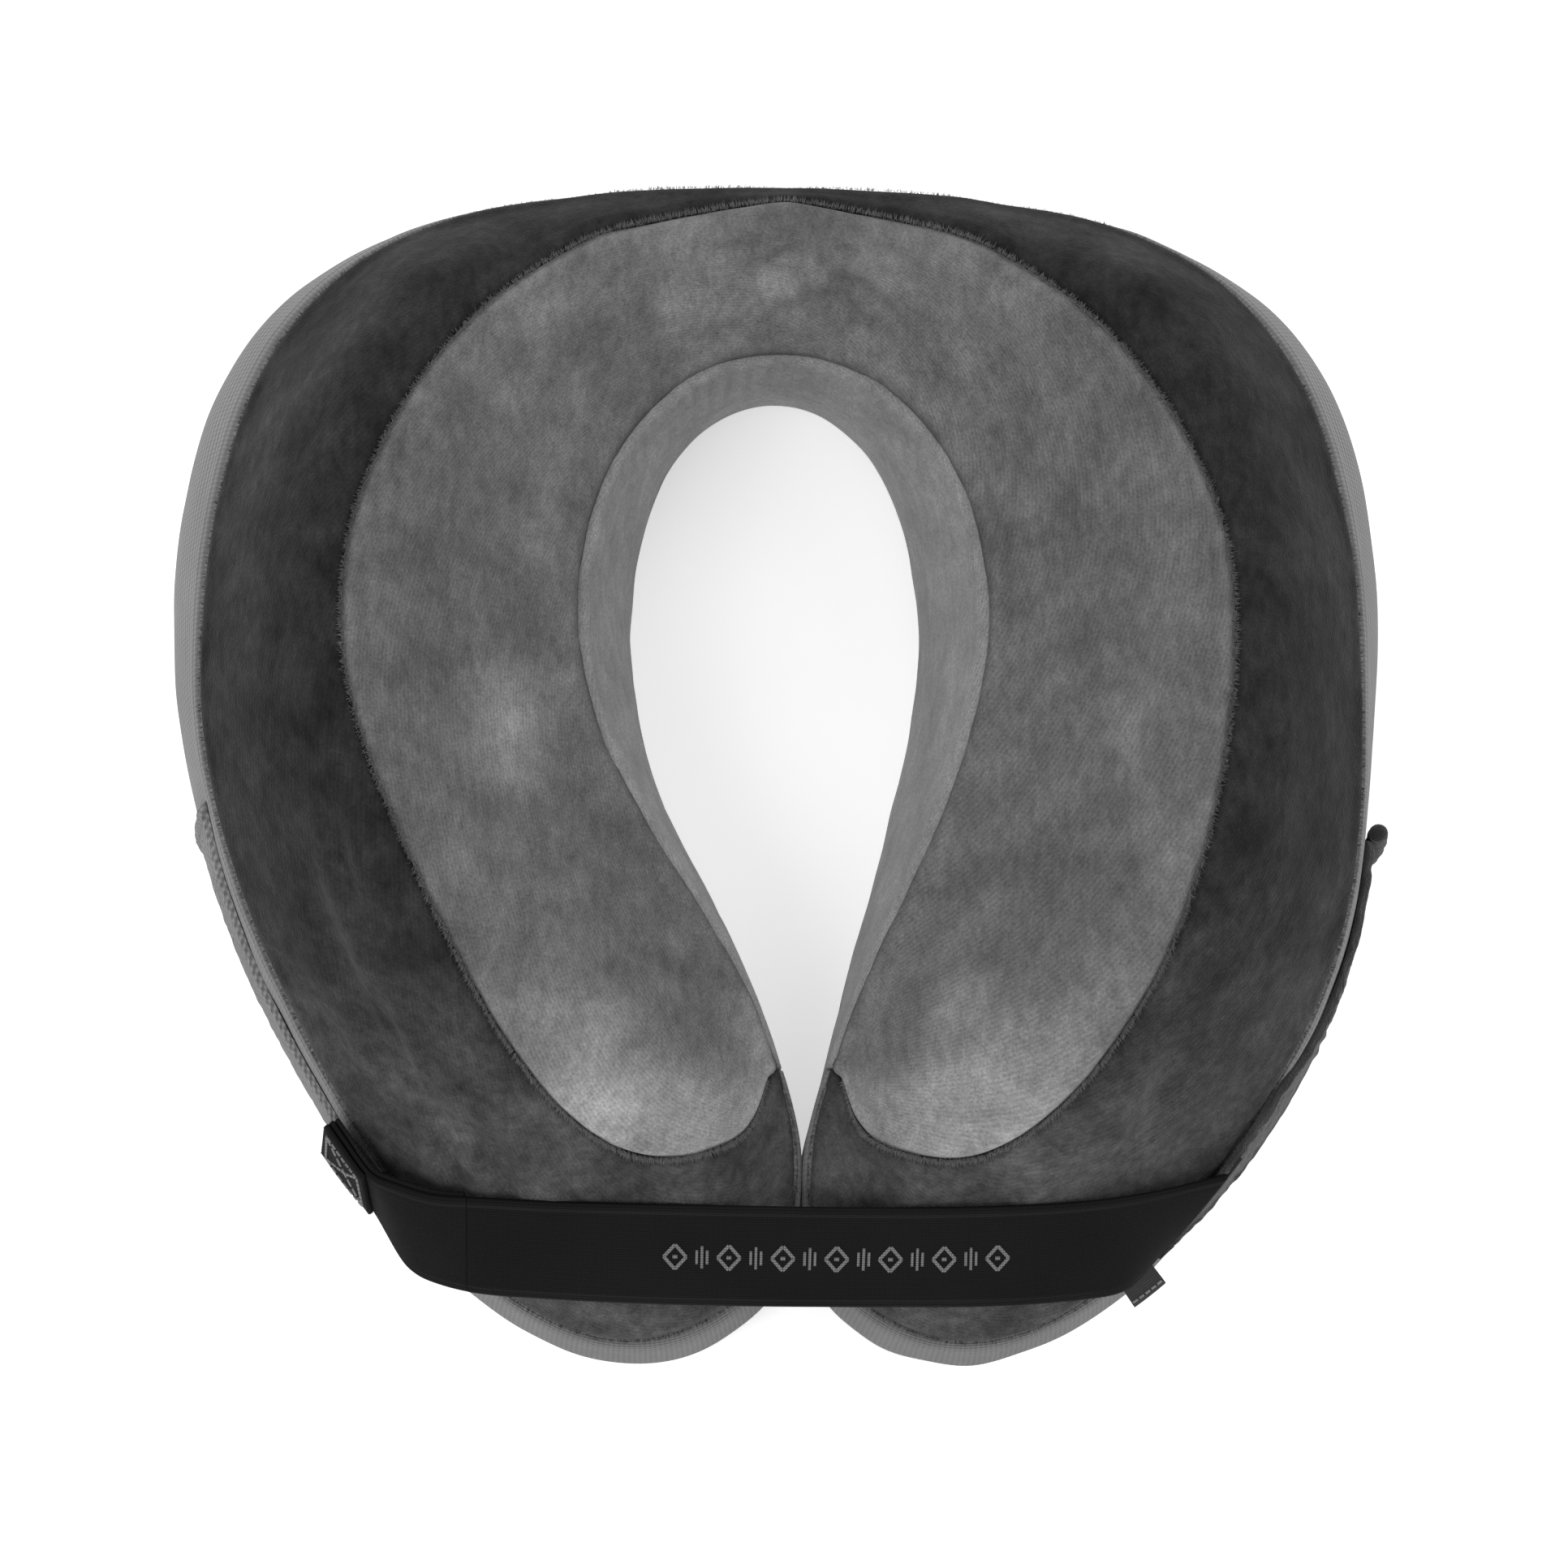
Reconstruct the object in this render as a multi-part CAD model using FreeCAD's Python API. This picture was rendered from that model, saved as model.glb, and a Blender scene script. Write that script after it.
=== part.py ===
import FreeCAD, Part
import math
import os

V = FreeCAD.Vector
os.makedirs("parts", exist_ok=True)

# U shaped neck pillow: memory foam in a sewn velour cover, closed across the front by an elastic strap.
# Millimetres, +Z up, origin on the table under the middle of the footprint; the wearer's chin is at -Y.

FABRIC = 2.0          # velour with its knitted backing
FOAM_GAP = 1.0        # slack between the cover and the foam
SEAM_GAP = 0.3        # open groove between two sewn panels
LEAN = 5.6            # how far the two front lobes sit to the wearer's left (+X)
LEAN_FROM, LEAN_TO = 20.0, -66.0
STRAP_WIDTH = 25.4    # one inch elastic
STRAP_THICK = 1.4
HOOK_THICK = 1.2
LOOP_THICK = 1.2
SKIN_CLEARANCE = 0.35  # air between a piece that moves and the cover

# ---------------------------------------------------------------- the pillow's form

# Top seam of the right half, from the middle of the back, round the lobe, to the middle of the nape:
# x, y, z of the seam, how far the wall bulges out of it, height of the widest point, inset of the base edge
SEAM = [
    (0.0, 139.5, 86.0, 1.5, 48.0, 9.0),
    (50.0, 136.0, 87.0, 3.5, 50.0, 8.0),
    (89.0, 125.5, 88.0, 9.0, 54.0, 11.0),
    (117.0, 102.0, 87.0, 13.0, 55.0, 14.0),
    (131.5, 66.0, 85.0, 12.0, 50.0, 13.0),
    (136.0, 26.0, 82.0, 8.5, 46.0, 12.0),
    (134.0, -10.0, 78.0, 4.8, 42.0, 11.0),
    (126.0, -42.0, 70.0, 4.0, 38.0, 10.0),
    (112.0, -71.0, 57.0, 2.8, 30.0, 9.0),
    (92.5, -98.0, 41.0, 3.0, 20.0, 8.0),
    (69.0, -119.0, 30.0, 3.0, 15.0, 8.0),
    (42.0, -129.0, 26.0, 3.0, 13.0, 8.0),
    (17.0, -121.5, 28.0, 3.0, 14.0, 7.0),
    (3.8, -107.0, 38.0, 1.5, 18.0, 4.0),
    (1.4, -92.0, 52.0, 0.6, 25.0, 2.5),
    (6.0, -70.0, 64.0, 1.5, 30.0, 2.5),
    (19.0, -41.0, 75.0, 6.0, 32.0, 4.0),
    (36.0, -10.0, 82.0, 11.0, 28.0, 4.0),
    (46.0, 20.0, 85.0, 13.0, 26.0, 4.0),
    (46.5, 48.0, 84.0, 11.0, 26.0, 4.0),
    (38.5, 74.0, 80.0, 7.0, 34.0, 5.0),
    (21.5, 94.0, 76.0, 2.0, 50.0, 11.0),
    (0.0, 101.0, 74.0, 0.5, 62.0, 16.0),
]
SEAM_X, SEAM_Y, SEAM_Z, BULGE, WIDEST, INSET = range(6)

# Heights the top of the foam passes through: the rounded outer ridge, the dished inner slope, the lobes
TOP = [
    (0.0, 130.0, 98.0), (46.0, 126.0, 101.0), (82.0, 110.0, 111.0), (102.0, 80.0, 118.0),
    (109.0, 44.0, 121.0), (108.5, 6.0, 121.0), (102.0, -28.0, 117.0), (88.0, -56.0, 106.0),
    (70.0, -80.0, 88.0),
    (0.0, 114.0, 90.0), (36.0, 105.0, 94.0), (62.0, 84.0, 102.0), (76.0, 50.0, 107.0),
    (76.0, 10.0, 107.0), (66.0, -28.0, 104.0), (50.0, -56.0, 98.0), (24.0, -78.0, 80.0),
    (44.0, -84.0, 85.0), (40.0, -98.0, 63.5), (40.0, -107.0, 54.0), (41.0, -118.0, 43.0),
    (68.0, -100.0, 57.0), (66.0, -110.0, 45.0), (15.0, -100.0, 57.0), (19.0, -110.0, 50.0),
    (82.0, -88.0, 64.0),
]

# Seam between the dark ring panel and the grey neck panel, right half, back to front
NECK_SEAM = [
    (0.0, 132.5), (37.0, 124.0), (66.0, 103.0), (89.0, 70.0), (100.0, 36.0), (99.5, 6.0),
    (91.5, -25.0), (79.5, -54.0), (62.5, -79.0), (47.0, -90.5), (33.0, -93.5), (19.0, -90.0),
    (11.0, -81.5), (8.2, -73.0),
]


def spline(at, values, even=True):
    """Cubic through the stations; an even one runs level into both ends, an odd one runs straight."""
    n = len(at)
    step = [at[i + 1] - at[i] for i in range(n - 1)]
    low, mid, up, right = [0.0] * n, [1.0] * n, [0.0] * n, [0.0] * n
    for i in range(1, n - 1):
        low[i], mid[i], up[i] = step[i - 1], 2 * (step[i - 1] + step[i]), step[i]
        right[i] = 6 * ((values[i + 1] - values[i]) / step[i] - (values[i] - values[i - 1]) / step[i - 1])
    if even:
        mid[0], up[0], right[0] = 2 * step[0], step[0], 6 * (values[1] - values[0]) / step[0]
        low[-1], mid[-1], right[-1] = step[-1], 2 * step[-1], -6 * (values[-1] - values[-2]) / step[-1]
    for i in range(1, n):
        ratio = low[i] / mid[i - 1]
        mid[i] -= ratio * up[i - 1]
        right[i] -= ratio * right[i - 1]
    bend = [0.0] * n
    bend[-1] = right[-1] / mid[-1]
    for i in range(n - 2, -1, -1):
        bend[i] = (right[i] - up[i] * bend[i + 1]) / mid[i]

    def value(t):
        i = 0
        while i < n - 2 and t > at[i + 1]:
            i += 1
        h, p, q = step[i], at[i + 1] - t, t - at[i]
        return ((bend[i] * p ** 3 + bend[i + 1] * q ** 3) / (6 * h)
                + (values[i] / h - bend[i] * h / 6) * p + (values[i + 1] / h - bend[i + 1] * h / 6) * q)
    return value


def stations(points):
    at = [0.0]
    for p, q in zip(points, points[1:]):
        at.append(at[-1] + math.hypot(q[0] - p[0], q[1] - p[1]))
    return [a / at[-1] for a in at]


SEAM_AT = stations(SEAM)
seam_column = [spline(SEAM_AT, [row[k] for row in SEAM], even=(k != SEAM_X)) for k in range(6)]
NECK_AT = stations(NECK_SEAM)
neck_column = [spline(NECK_AT, [row[k] for row in NECK_SEAM], even=(k != 0)) for k in range(2)]


def lean(x, y):
    """Shift the front of the pillow sideways, smoothly from the sides to the lobes."""
    t = min(1.0, max(0.0, (LEAN_FROM - y) / (LEAN_FROM - LEAN_TO)))
    return x + LEAN * t * t * (3 - 2 * t), y


def seam_frame(t):
    """Plan position and outward normal on the top seam; t runs 0..1 on the right half."""
    d = 1e-4
    a, b = max(0.0, t - d), min(1.0, t + d)
    tx = seam_column[SEAM_X](b) - seam_column[SEAM_X](a)
    ty = seam_column[SEAM_Y](b) - seam_column[SEAM_Y](a)
    size = math.hypot(tx, ty)
    if t in (0, 1):
        return 0.0, SEAM[-int(t)][SEAM_Y], 0.0, 1.0 - 2 * t
    return seam_column[SEAM_X](t), seam_column[SEAM_Y](t), -ty / size, tx / size


def wall_offset(t, z):
    """How far the wall stands out of the seam at height z."""
    seam_z, bulge, widest, inset = (seam_column[k](t) for k in (SEAM_Z, BULGE, WIDEST, INSET))
    if z < widest:
        return bulge - inset * (1 - z / widest) ** 2
    if z < seam_z:
        return bulge * (1 - ((z - widest) / (seam_z - widest)) ** 2)
    return 0.0


def wall_point(t, z, out=0.0, side=1):
    """Point on the cover's wall, moved outward by out; side is +1 for the right half, -1 for the left."""
    x, y, nx, ny = seam_frame(t)
    d = wall_offset(t, z) + out
    px, py = lean(side * (x + nx * d), y + ny * d)
    return V(px, py, z)


def spread(r_squared):
    return 0.0 if r_squared < 1e-9 else r_squared * math.log(r_squared)


def solve(rows):
    n = len(rows)
    for i in range(n):
        best = max(range(i, n), key=lambda k: abs(rows[k][i]))
        rows[i], rows[best] = rows[best], rows[i]
        for k in range(i + 1, n):
            f = rows[k][i] / rows[i][i]
            if f:
                rows[k] = [a - f * b for a, b in zip(rows[k], rows[i])]
    answer = [0.0] * n
    for i in range(n - 1, -1, -1):
        answer[i] = (rows[i][n] - sum(rows[i][j] * answer[j] for j in range(i + 1, n))) / rows[i][i]
    return answer


def thin_plate(points):
    """The smoothest sheet through the given heights, the same on both sides of the middle."""
    full = list(points) + [(-x, y, z) for x, y, z in points if x > 0.0]
    rows = [[spread((a[0] - b[0]) ** 2 + (a[1] - b[1]) ** 2) for b in full] + [1.0, a[0], a[1], a[2]]
            for a in full]
    rows.append([1.0] * len(full) + [0.0] * 4)
    rows.append([p[0] for p in full] + [0.0] * 4)
    rows.append([p[1] for p in full] + [0.0] * 4)
    weights = solve(rows)
    level, slope_x, slope_y = weights[-3:]

    def height(x, y):
        return (level + slope_x * x + slope_y * y
                + sum(w * spread((x - a) ** 2 + (y - b) ** 2) for w, (a, b, _) in zip(weights, full)))
    return height


top_height = thin_plate([row[:3] for row in SEAM] + TOP)

# ---------------------------------------------------------------- solids

BASE = 1.8                       # base panel, a flat plate
CENTRE = V(0.8, 4.6, 0)          # middle of the footprint, moved to the origin when the parts are written
MOUTH = SEAM_AT[15]              # where the neck panel's seam runs out at the mouth between the lobes
AROUND = 56                      # steps round each half of the cover
EDGE_BLEND = 9.0                 # width over which a panel's thickness turns to meet the wall squarely


def write(shape, name):
    shape = shape.copy()
    shape.translate(V(-CENTRE.x, -CENTRE.y, 0))
    print(name, shape.ShapeType, shape.isValid(), len(shape.Solids), round(shape.Volume, 2))
    shape.exportStep("parts/" + name + ".step")


def surfaces(grid, pieces):
    """Smooth surface through a grid of points, handed back in pieces along its first direction."""
    whole = Part.BSplineSurface()
    whole.interpolate(grid)
    knots = whole.getUKnots()
    marks = [knots[round(i * (len(knots) - 1) / pieces)] for i in range(pieces + 1)]
    v0, v1 = whole.bounds()[2:]
    cut = []
    for u0, u1 in zip(marks, marks[1:]):
        piece = whole.copy()
        piece.segment(u0, u1, v0, v1)
        cut.append(piece)
    return cut


def border(face, piece):
    """The face's edges in the order first end, last end, first side, last side."""
    u0, u1, v0, v1 = piece.bounds()
    middle_u, middle_v = (u0 + u1) / 2, (v0 + v1) / 2
    places = [piece.value(*uv) for uv in ((u0, middle_v), (u1, middle_v), (middle_u, v0), (middle_u, v1))]
    return [min(face.Edges, key=lambda e: e.distToShape(Part.Vertex(place))[0]) for place in places]


def closed(faces):
    shell = Part.makeShell(faces)
    shell.sewShape()
    solid = Part.Solid(shell)
    if solid.Volume < 0:
        solid.reverse()
    return solid


def between(outside, inside, pieces=12):
    """Solid panel between two grids of points of the same size."""
    faces = []
    for i, (a, b) in enumerate(zip(surfaces(outside, pieces), surfaces(inside, pieces))):
        face_a, face_b = a.toShape(), b.toShape()
        pairs = list(zip(border(face_a, a), border(face_b, b)))
        open_ends = [i == 0, i == pieces - 1, True, True]
        faces += [face_a, face_b]
        faces += [Part.makeRuledSurface(p, q) for (p, q), is_open in zip(pairs, open_ends) if is_open]
    return closed(faces)


def turn(a):
    """Match the neck panel's seam to the outer seam so that the ribs between them fan evenly."""
    return a + 0.425 * a * (1 - a)


def outer_t(a):
    return a * MOUTH


def inner_t(a):
    return 1 - a * (1 - MOUTH)


def top_point(side, start, end, v, deep, edge_normal, edge_distance):
    """Point of the top between two plan points, set in by deep; level with the wall at a top seam."""
    x, y = start[0] + (end[0] - start[0]) * v, start[1] + (end[1] - start[1]) * v
    d = 0.05
    slope_x = (top_height(x + d, y) - top_height(x - d, y)) / (2 * d)
    slope_y = (top_height(x, y + d) - top_height(x, y - d)) / (2 * d)
    size = math.sqrt(1 + slope_x ** 2 + slope_y ** 2)
    nx, ny, nz = -slope_x / size, -slope_y / size, 1 / size
    mix = max(0.0, 1 - edge_distance / EDGE_BLEND)
    mix = mix * mix * (3 - 2 * mix)
    nx, ny, nz = (nx + (edge_normal[0] - nx) * mix, ny + (edge_normal[1] - ny) * mix, nz * (1 - mix))
    px, py = lean(side * (x - deep * nx), y - deep * ny)
    return V(px, py, top_height(x, y) - deep * nz)


def ring_point(u, v, deep):
    """Dark ring: u round the cushion from left mouth to right, v from the outer seam to the neck seam."""
    a, side = abs(u), (1 if u >= 0 else -1)
    x, y, nx, ny = seam_frame(outer_t(a))
    end = (neck_column[0](turn(a)), neck_column[1](turn(a)))
    length = math.hypot(end[0] - x, end[1] - y)
    v = v * (1 - SEAM_GAP / 2 / length)
    return top_point(side, (x, y), end, v, deep, (nx, ny), v * length)


def neck_point(u, v, deep):
    """Neck panel: v from its seam with the ring to the top seam round the neck."""
    a, side = abs(u), (1 if u >= 0 else -1)
    x, y, nx, ny = seam_frame(inner_t(a))
    start = (neck_column[0](turn(a)), neck_column[1](turn(a)))
    length = math.hypot(start[0] - x, start[1] - y)
    v = v + (1 - v) * SEAM_GAP / 2 / length
    return top_point(side, start, (x, y), v, deep, (nx, ny), (1 - v) * length)


def steps(count, limit=1.0):
    return [limit * i / count for i in range(-count, count + 1)]


def wall_grid(t_of, limit, deep, top_gap, floor, levels=8):
    grid = []
    for u in steps(AROUND, limit):
        t, side = t_of(abs(u)), (1 if u >= 0 else -1)
        high = seam_column[SEAM_Z](t) - top_gap
        grid.append([wall_point(t, high + (floor - high) * j / levels, -deep, side) for j in range(levels + 1)])
    return grid


def foam_solid(deep, floor):
    """One block of foam: a skin from the outer foot over the top to the inner foot, closed underneath."""
    grid = []
    across = [0.0, 0.04, 0.1, 0.18, 0.28, 0.4, 0.52, 0.64, 0.76, 0.88, 0.96, 1.0]
    for u in steps(AROUND, 0.965):
        a, side = abs(u), (1 if u >= 0 else -1)
        out_frame, in_frame = seam_frame(outer_t(a)), seam_frame(inner_t(a))
        row = []
        for k in range(7):
            high = seam_column[SEAM_Z](outer_t(a)) - 3.0
            row.append(wall_point(outer_t(a), floor + (high - floor) * k / 6, -deep, side))
        length = math.hypot(out_frame[0] - in_frame[0], out_frame[1] - in_frame[1])
        for v in across[1:-1]:
            near = min(v, 1 - v) * length
            frame = out_frame if v < 0.5 else in_frame
            row.append(top_point(side, out_frame[:2], in_frame[:2], v, deep, frame[2:], near))
        for k in range(6, -1, -1):
            high = seam_column[SEAM_Z](inner_t(a)) - 3.0
            row.append(wall_point(inner_t(a), floor + (high - floor) * k / 6, -deep, side))
        grid.append(row)
    for row in (grid[0], grid[-1]):
        first, last = row[0], row[-1]
        along = V(last.x - first.x, last.y - first.y, 0)
        along.normalize()
        for k, p in enumerate(row):
            reach = (p.x - first.x) * along.x + (p.y - first.y) * along.y
            row[k] = V(first.x + along.x * reach, first.y + along.y * reach, p.z)
    pieces = surfaces(grid, 10)
    faces = []
    for i, piece in enumerate(pieces):
        skin = piece.toShape()
        first_end, last_end, out_foot, in_foot = border(skin, piece)
        bottom = Part.makeRuledSurface(out_foot, in_foot)
        faces += [skin, bottom]
        for edge, is_end in ((first_end, i == 0), (last_end, i == len(pieces) - 1)):
            if is_end:
                middle = (edge.Vertexes[0].Point + edge.Vertexes[-1].Point) / 2
                foot = min(bottom.Edges, key=lambda e: e.distToShape(Part.Vertex(middle))[0])
                faces.append(Part.makeFilledFace([edge, foot]))
    return closed(faces).common(slab(floor + 0.05, 150))


def slab(low, high):
    return Part.makeBox(320, 320, high - low, V(-160, -160, low))


def outline(z, out):
    right = [wall_point(i / 60, z, out, 1) for i in range(61)]
    left = [wall_point(i / 60, z, out, -1) for i in range(59, 0, -1)]
    curve = Part.BSplineCurve()
    curve.interpolate(Points=[V(p.x, p.y, 0) for p in right + left], PeriodicFlag=True)
    first, last = curve.FirstParameter, curve.LastParameter
    marks = [first + (last - first) * i / 12 for i in range(13)]
    return Part.Face(Part.Wire([curve.toShape(a, b) for a, b in zip(marks, marks[1:])]))


def ribbon(stations, near, far):
    """Solid strip along (top, bottom) stations, between two depths measured inward from their face."""
    sections = []
    for i, (top, bottom) in enumerate(stations):
        a, b = stations[max(0, i - 1)], stations[min(len(stations) - 1, i + 1)]
        along = (b[0] + b[1]) - (a[0] + a[1])
        inward = (bottom - top).cross(along)
        inward.normalize()
        corners = [top + inward * near, bottom + inward * near, bottom + inward * far, top + inward * far]
        sections.append(Part.makePolygon(corners + corners[:1]))
    return Part.makeLoft(sections, True, False)


def thread(a, b, radius=0.35):
    return Part.makeCylinder(radius, (b - a).Length, a, b - a)


def box(x0, x1, y0, y1, z0, z1):
    return Part.makeBox(x1 - x0, y1 - y0, z1 - z0, V(x0, y0, z0))


# cover and foam
near_end = 0.9985
across = [k / 9 for k in range(10)]


def panel(point):
    return between(*[[[point(u, v, deep) for v in across] for u in steps(AROUND, near_end)]
                     for deep in (0.0, FABRIC)])


ring_panel = panel(ring_point)
neck_panel = panel(neck_point)
outer_wall = between(*[wall_grid(outer_t, near_end, deep, SEAM_GAP, BASE + SEAM_GAP) for deep in (0, FABRIC)])
neck_wall = between(*[wall_grid(inner_t, near_end, deep, SEAM_GAP, BASE + SEAM_GAP) for deep in (0, FABRIC)])
base_panel = outline(0.9, 0.0).extrude(V(0, 0, BASE))
foam = foam_solid(FABRIC + FOAM_GAP, BASE + FOAM_GAP)

# zip across the foot of the back wall
ZIP_HALF, ZIP_Z = 56.0, 23.0
TAPE, TAPE_THICK, COIL, COIL_THICK = 7.6, 0.6, 1.7, 1.4
ZIP_SPLIT = 1.6                   # the two coils stand this far apart, room for the slider's bridge
TAPE_Y = 136.0                    # inner face of the tapes
SLOT = ZIP_SPLIT / 2 + COIL + TAPE - 1.5
outer_wall = outer_wall.cut(box(-ZIP_HALF - 3, ZIP_HALF + 3, 125, 150, ZIP_Z - SLOT, ZIP_Z + SLOT))
foam = foam.cut(box(-ZIP_HALF - 3, ZIP_HALF + 3, 133.4, 150, ZIP_Z - 12.5, ZIP_Z + 12.5))
for name, up in (("upper", 1), ("lower", -1)):
    inner, outer = ZIP_Z + up * ZIP_SPLIT / 2, ZIP_Z + up * (ZIP_SPLIT / 2 + TAPE)
    write(box(-ZIP_HALF, ZIP_HALF, TAPE_Y - TAPE_THICK, TAPE_Y, min(inner, outer), max(inner, outer)),
          "zip_tape_" + name)
    far = ZIP_Z + up * (ZIP_SPLIT / 2 + COIL)
    write(box(-ZIP_HALF + 3, ZIP_HALF - 3, TAPE_Y, TAPE_Y + COIL_THICK, min(inner, far), max(inner, far)),
          "zip_coil_" + name)
STOP_Z = ZIP_SPLIT / 2 + COIL + 0.5
for name, x in (("open", -ZIP_HALF + 0.6), ("closed", ZIP_HALF - 2.8)):
    write(box(x, x + 2.2, TAPE_Y, TAPE_Y + 1.8, ZIP_Z - STOP_Z, ZIP_Z + STOP_Z), "zip_stop_" + name)

SLIDER_X, SLIDER_LONG, SLIDER_HALF = 42.0, 9.0, 3.4     # at rest, closed; its nose is at +X
front = TAPE_Y + COIL_THICK + 0.35
behind = TAPE_Y - TAPE_THICK - 0.35
slider = box(SLIDER_X, SLIDER_X + SLIDER_LONG, front, front + 1.0, ZIP_Z - SLIDER_HALF, ZIP_Z + SLIDER_HALF)
slider = slider.fuse(box(SLIDER_X, SLIDER_X + SLIDER_LONG, behind - 1.0, behind,
                         ZIP_Z - SLIDER_HALF, ZIP_Z + SLIDER_HALF))
slider = slider.fuse(box(SLIDER_X + SLIDER_LONG - 3.5, SLIDER_X + SLIDER_LONG, behind - 0.5, front + 0.5,
                         ZIP_Z - 0.45, ZIP_Z + 0.45))
PIN_Y, PIN_X = front + 1.0 + 1.7, SLIDER_X + 4.5
for z in (ZIP_Z - SLIDER_HALF, ZIP_Z + SLIDER_HALF - 0.8):
    slider = slider.fuse(box(PIN_X - 1.1, PIN_X + 1.1, front + 0.5, PIN_Y + 1.1, z, z + 0.8))
    rail = box(SLIDER_X, SLIDER_X + SLIDER_LONG, front - 0.9, front + 0.5, z, z + 0.8)
    slider = slider.fuse(rail)
slider = slider.fuse(Part.makeCylinder(0.6, 2 * SLIDER_HALF - 0.4, V(PIN_X, PIN_Y, ZIP_Z - SLIDER_HALF + 0.2)))
write(slider, "zip_slider")
pull = Part.makeCylinder(1.3, 4.6, V(PIN_X, PIN_Y, ZIP_Z - 2.3))
pull = pull.fuse(box(PIN_X - 21.0, PIN_X, PIN_Y - 0.5, PIN_Y + 0.5, ZIP_Z - 2.3, ZIP_Z + 2.3))
pull = pull.cut(Part.makeCylinder(0.8, 6.0, V(PIN_X, PIN_Y, ZIP_Z - 3.0)))
pull = pull.cut(box(PIN_X - 19.0, PIN_X - 13.0, PIN_Y - 2, PIN_Y + 2, ZIP_Z - 1.1, ZIP_Z + 1.1))
write(pull, "zip_pull")

write(foam, "foam_core")
write(ring_panel, "ring_panel")
write(neck_panel, "neck_panel")
write(neck_wall, "neck_wall_panel")
write(outer_wall, "outer_wall_panel")
write(base_panel, "base_panel")

def on_wall(side, start, end, high, low, near, far, along=20, down=8):
    """Cloth lying on one side's wall; its ends may slant, and its edges rise or fall from end to end."""
    grids = []
    for out in (far, near):
        grid = []
        for i in range(along + 1):
            s = i / along
            top, foot = high[0] + (high[1] - high[0]) * s, low[0] + (low[1] - low[0]) * s
            row = []
            for j in range(down + 1):
                f = j / down
                t0, t1 = start[0] + (start[1] - start[0]) * f, end[0] + (end[1] - end[0]) * f
                row.append(wall_point(t0 + (t1 - t0) * s, top + (foot - top) * f, out, side))
            grid.append(row)
        grids.append(grid)
    return between(*grids)


# loop panel on the left wall, where the strap's hooks catch
write(on_wall(-1, (0.352, 0.352), (0.492, 0.492), (72.0, 36.0), (16.0, 12.0), 0.15, 0.15 + LOOP_THICK),
      "loop_panel")

# anchor band sewn to the right wall, rolled over at its back end, cut on the slant where the elastic joins
BAND_THICK = 2.0
BAND_TOP = 60.0
SPLICE = ((-91.5, 54.0), (-111.0, 33.0))     # y, z of the slanted end, top and bottom
write(on_wall(1, (0.357, 0.357), (0.4825, 0.5135), (BAND_TOP, SPLICE[0][1]),
              (BAND_TOP - STRAP_WIDTH, SPLICE[1][1]), 0.15, 0.15 + BAND_THICK), "anchor_band")
roll_low, roll_high = (wall_point(0.3535, z, 3.2, 1) for z in (BAND_TOP - STRAP_WIDTH, BAND_TOP))
write(thread(roll_low, roll_high, 2.3), "anchor_band_roll")


def wall_at(y, z, out):
    """Point on the right wall with a given y."""
    low, high = 0.3, 0.55
    for _ in range(30):
        t = (low + high) / 2
        if wall_point(t, z, out, 1).y > y:
            low = t
        else:
            high = t
    return wall_point(t, z, out, 1)


overlock = []
for i in range(15):
    f = 0.05 + 0.9 * i / 14
    y = SPLICE[0][0] + (SPLICE[1][0] - SPLICE[0][0]) * f
    z = SPLICE[0][1] + (SPLICE[1][1] - SPLICE[0][1]) * f
    overlock.append(thread(wall_at(y + 0.4, z, BAND_THICK + 0.25), wall_at(y + 3.4, z + 0.8, BAND_THICK + 0.25), 0.4))
write(Part.makeCompound(overlock), "anchor_overlock")

# strap: stations (top x, y, z, bottom x, y, z) of its outer face, from right to left; the splice is
# found on the wall
STRAP = [
    (92.0, -97.4, 57.1, 82.4, -118.1, 37.3),
    (79.0, -100.2, 60.0, 75.0, -120.5, 41.1),
    (54.5, -102.6, 62.3, 55.0, -122.9, 45.2),
    (28.0, -103.4, 63.1, 28.0, -123.7, 46.4),
    (0.0, -103.3, 62.9, 0.0, -123.6, 46.3),
    (-37.6, -102.6, 62.2, -37.6, -122.9, 45.6),
    (-58.0, -101.9, 61.0, -58.0, -121.6, 43.7),
    (-72.0, -101.0, 59.6, -72.0, -119.8, 41.4),
]
STRAP_END = [
    (-72.8, -100.9, 59.5, -72.8, -119.7, 41.3),
    (-82.0, -100.0, 58.2, -81.0, -117.0, 37.4),
    (-89.7, -97.6, 57.2, -87.4, -112.4, 34.2),
]
TAB_OUT = 0.15 + LOOP_THICK + SKIN_CLEARANCE + 0.45 + HOOK_THICK + 0.1 + STRAP_THICK
strap = [(wall_at(-93.6, 54.0, 2.8), wall_at(-113.3, 32.8, 2.8))]
strap += [(V(*row[:3]), V(*row[3:])) for row in STRAP]
strap_end = [(V(*row[:3]), V(*row[3:])) for row in STRAP_END]
for t_top, t_bottom in ((0.484, 0.490), (0.475, 0.4785), (0.463, 0.4635)):
    strap_end.append((wall_point(t_top, 57.0, TAB_OUT, -1), wall_point(t_bottom, 31.8, TAB_OUT, -1)))
write(ribbon(strap, 0, STRAP_THICK), "strap_elastic")
write(ribbon(strap_end, 0, STRAP_THICK), "strap_end_elastic")
write(ribbon(strap_end, STRAP_THICK + 0.1, STRAP_THICK + 0.1 + HOOK_THICK), "hook_patch")
tab = strap_end[3:]
room = [(top + (top - bottom) * 0.1, bottom - (top - bottom) * 0.1) for top, bottom in tab]
write(ribbon(strap_end, -0.1 - STRAP_THICK, -0.1).common(ribbon(room, -4, 2)), "grip_tab")


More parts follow.
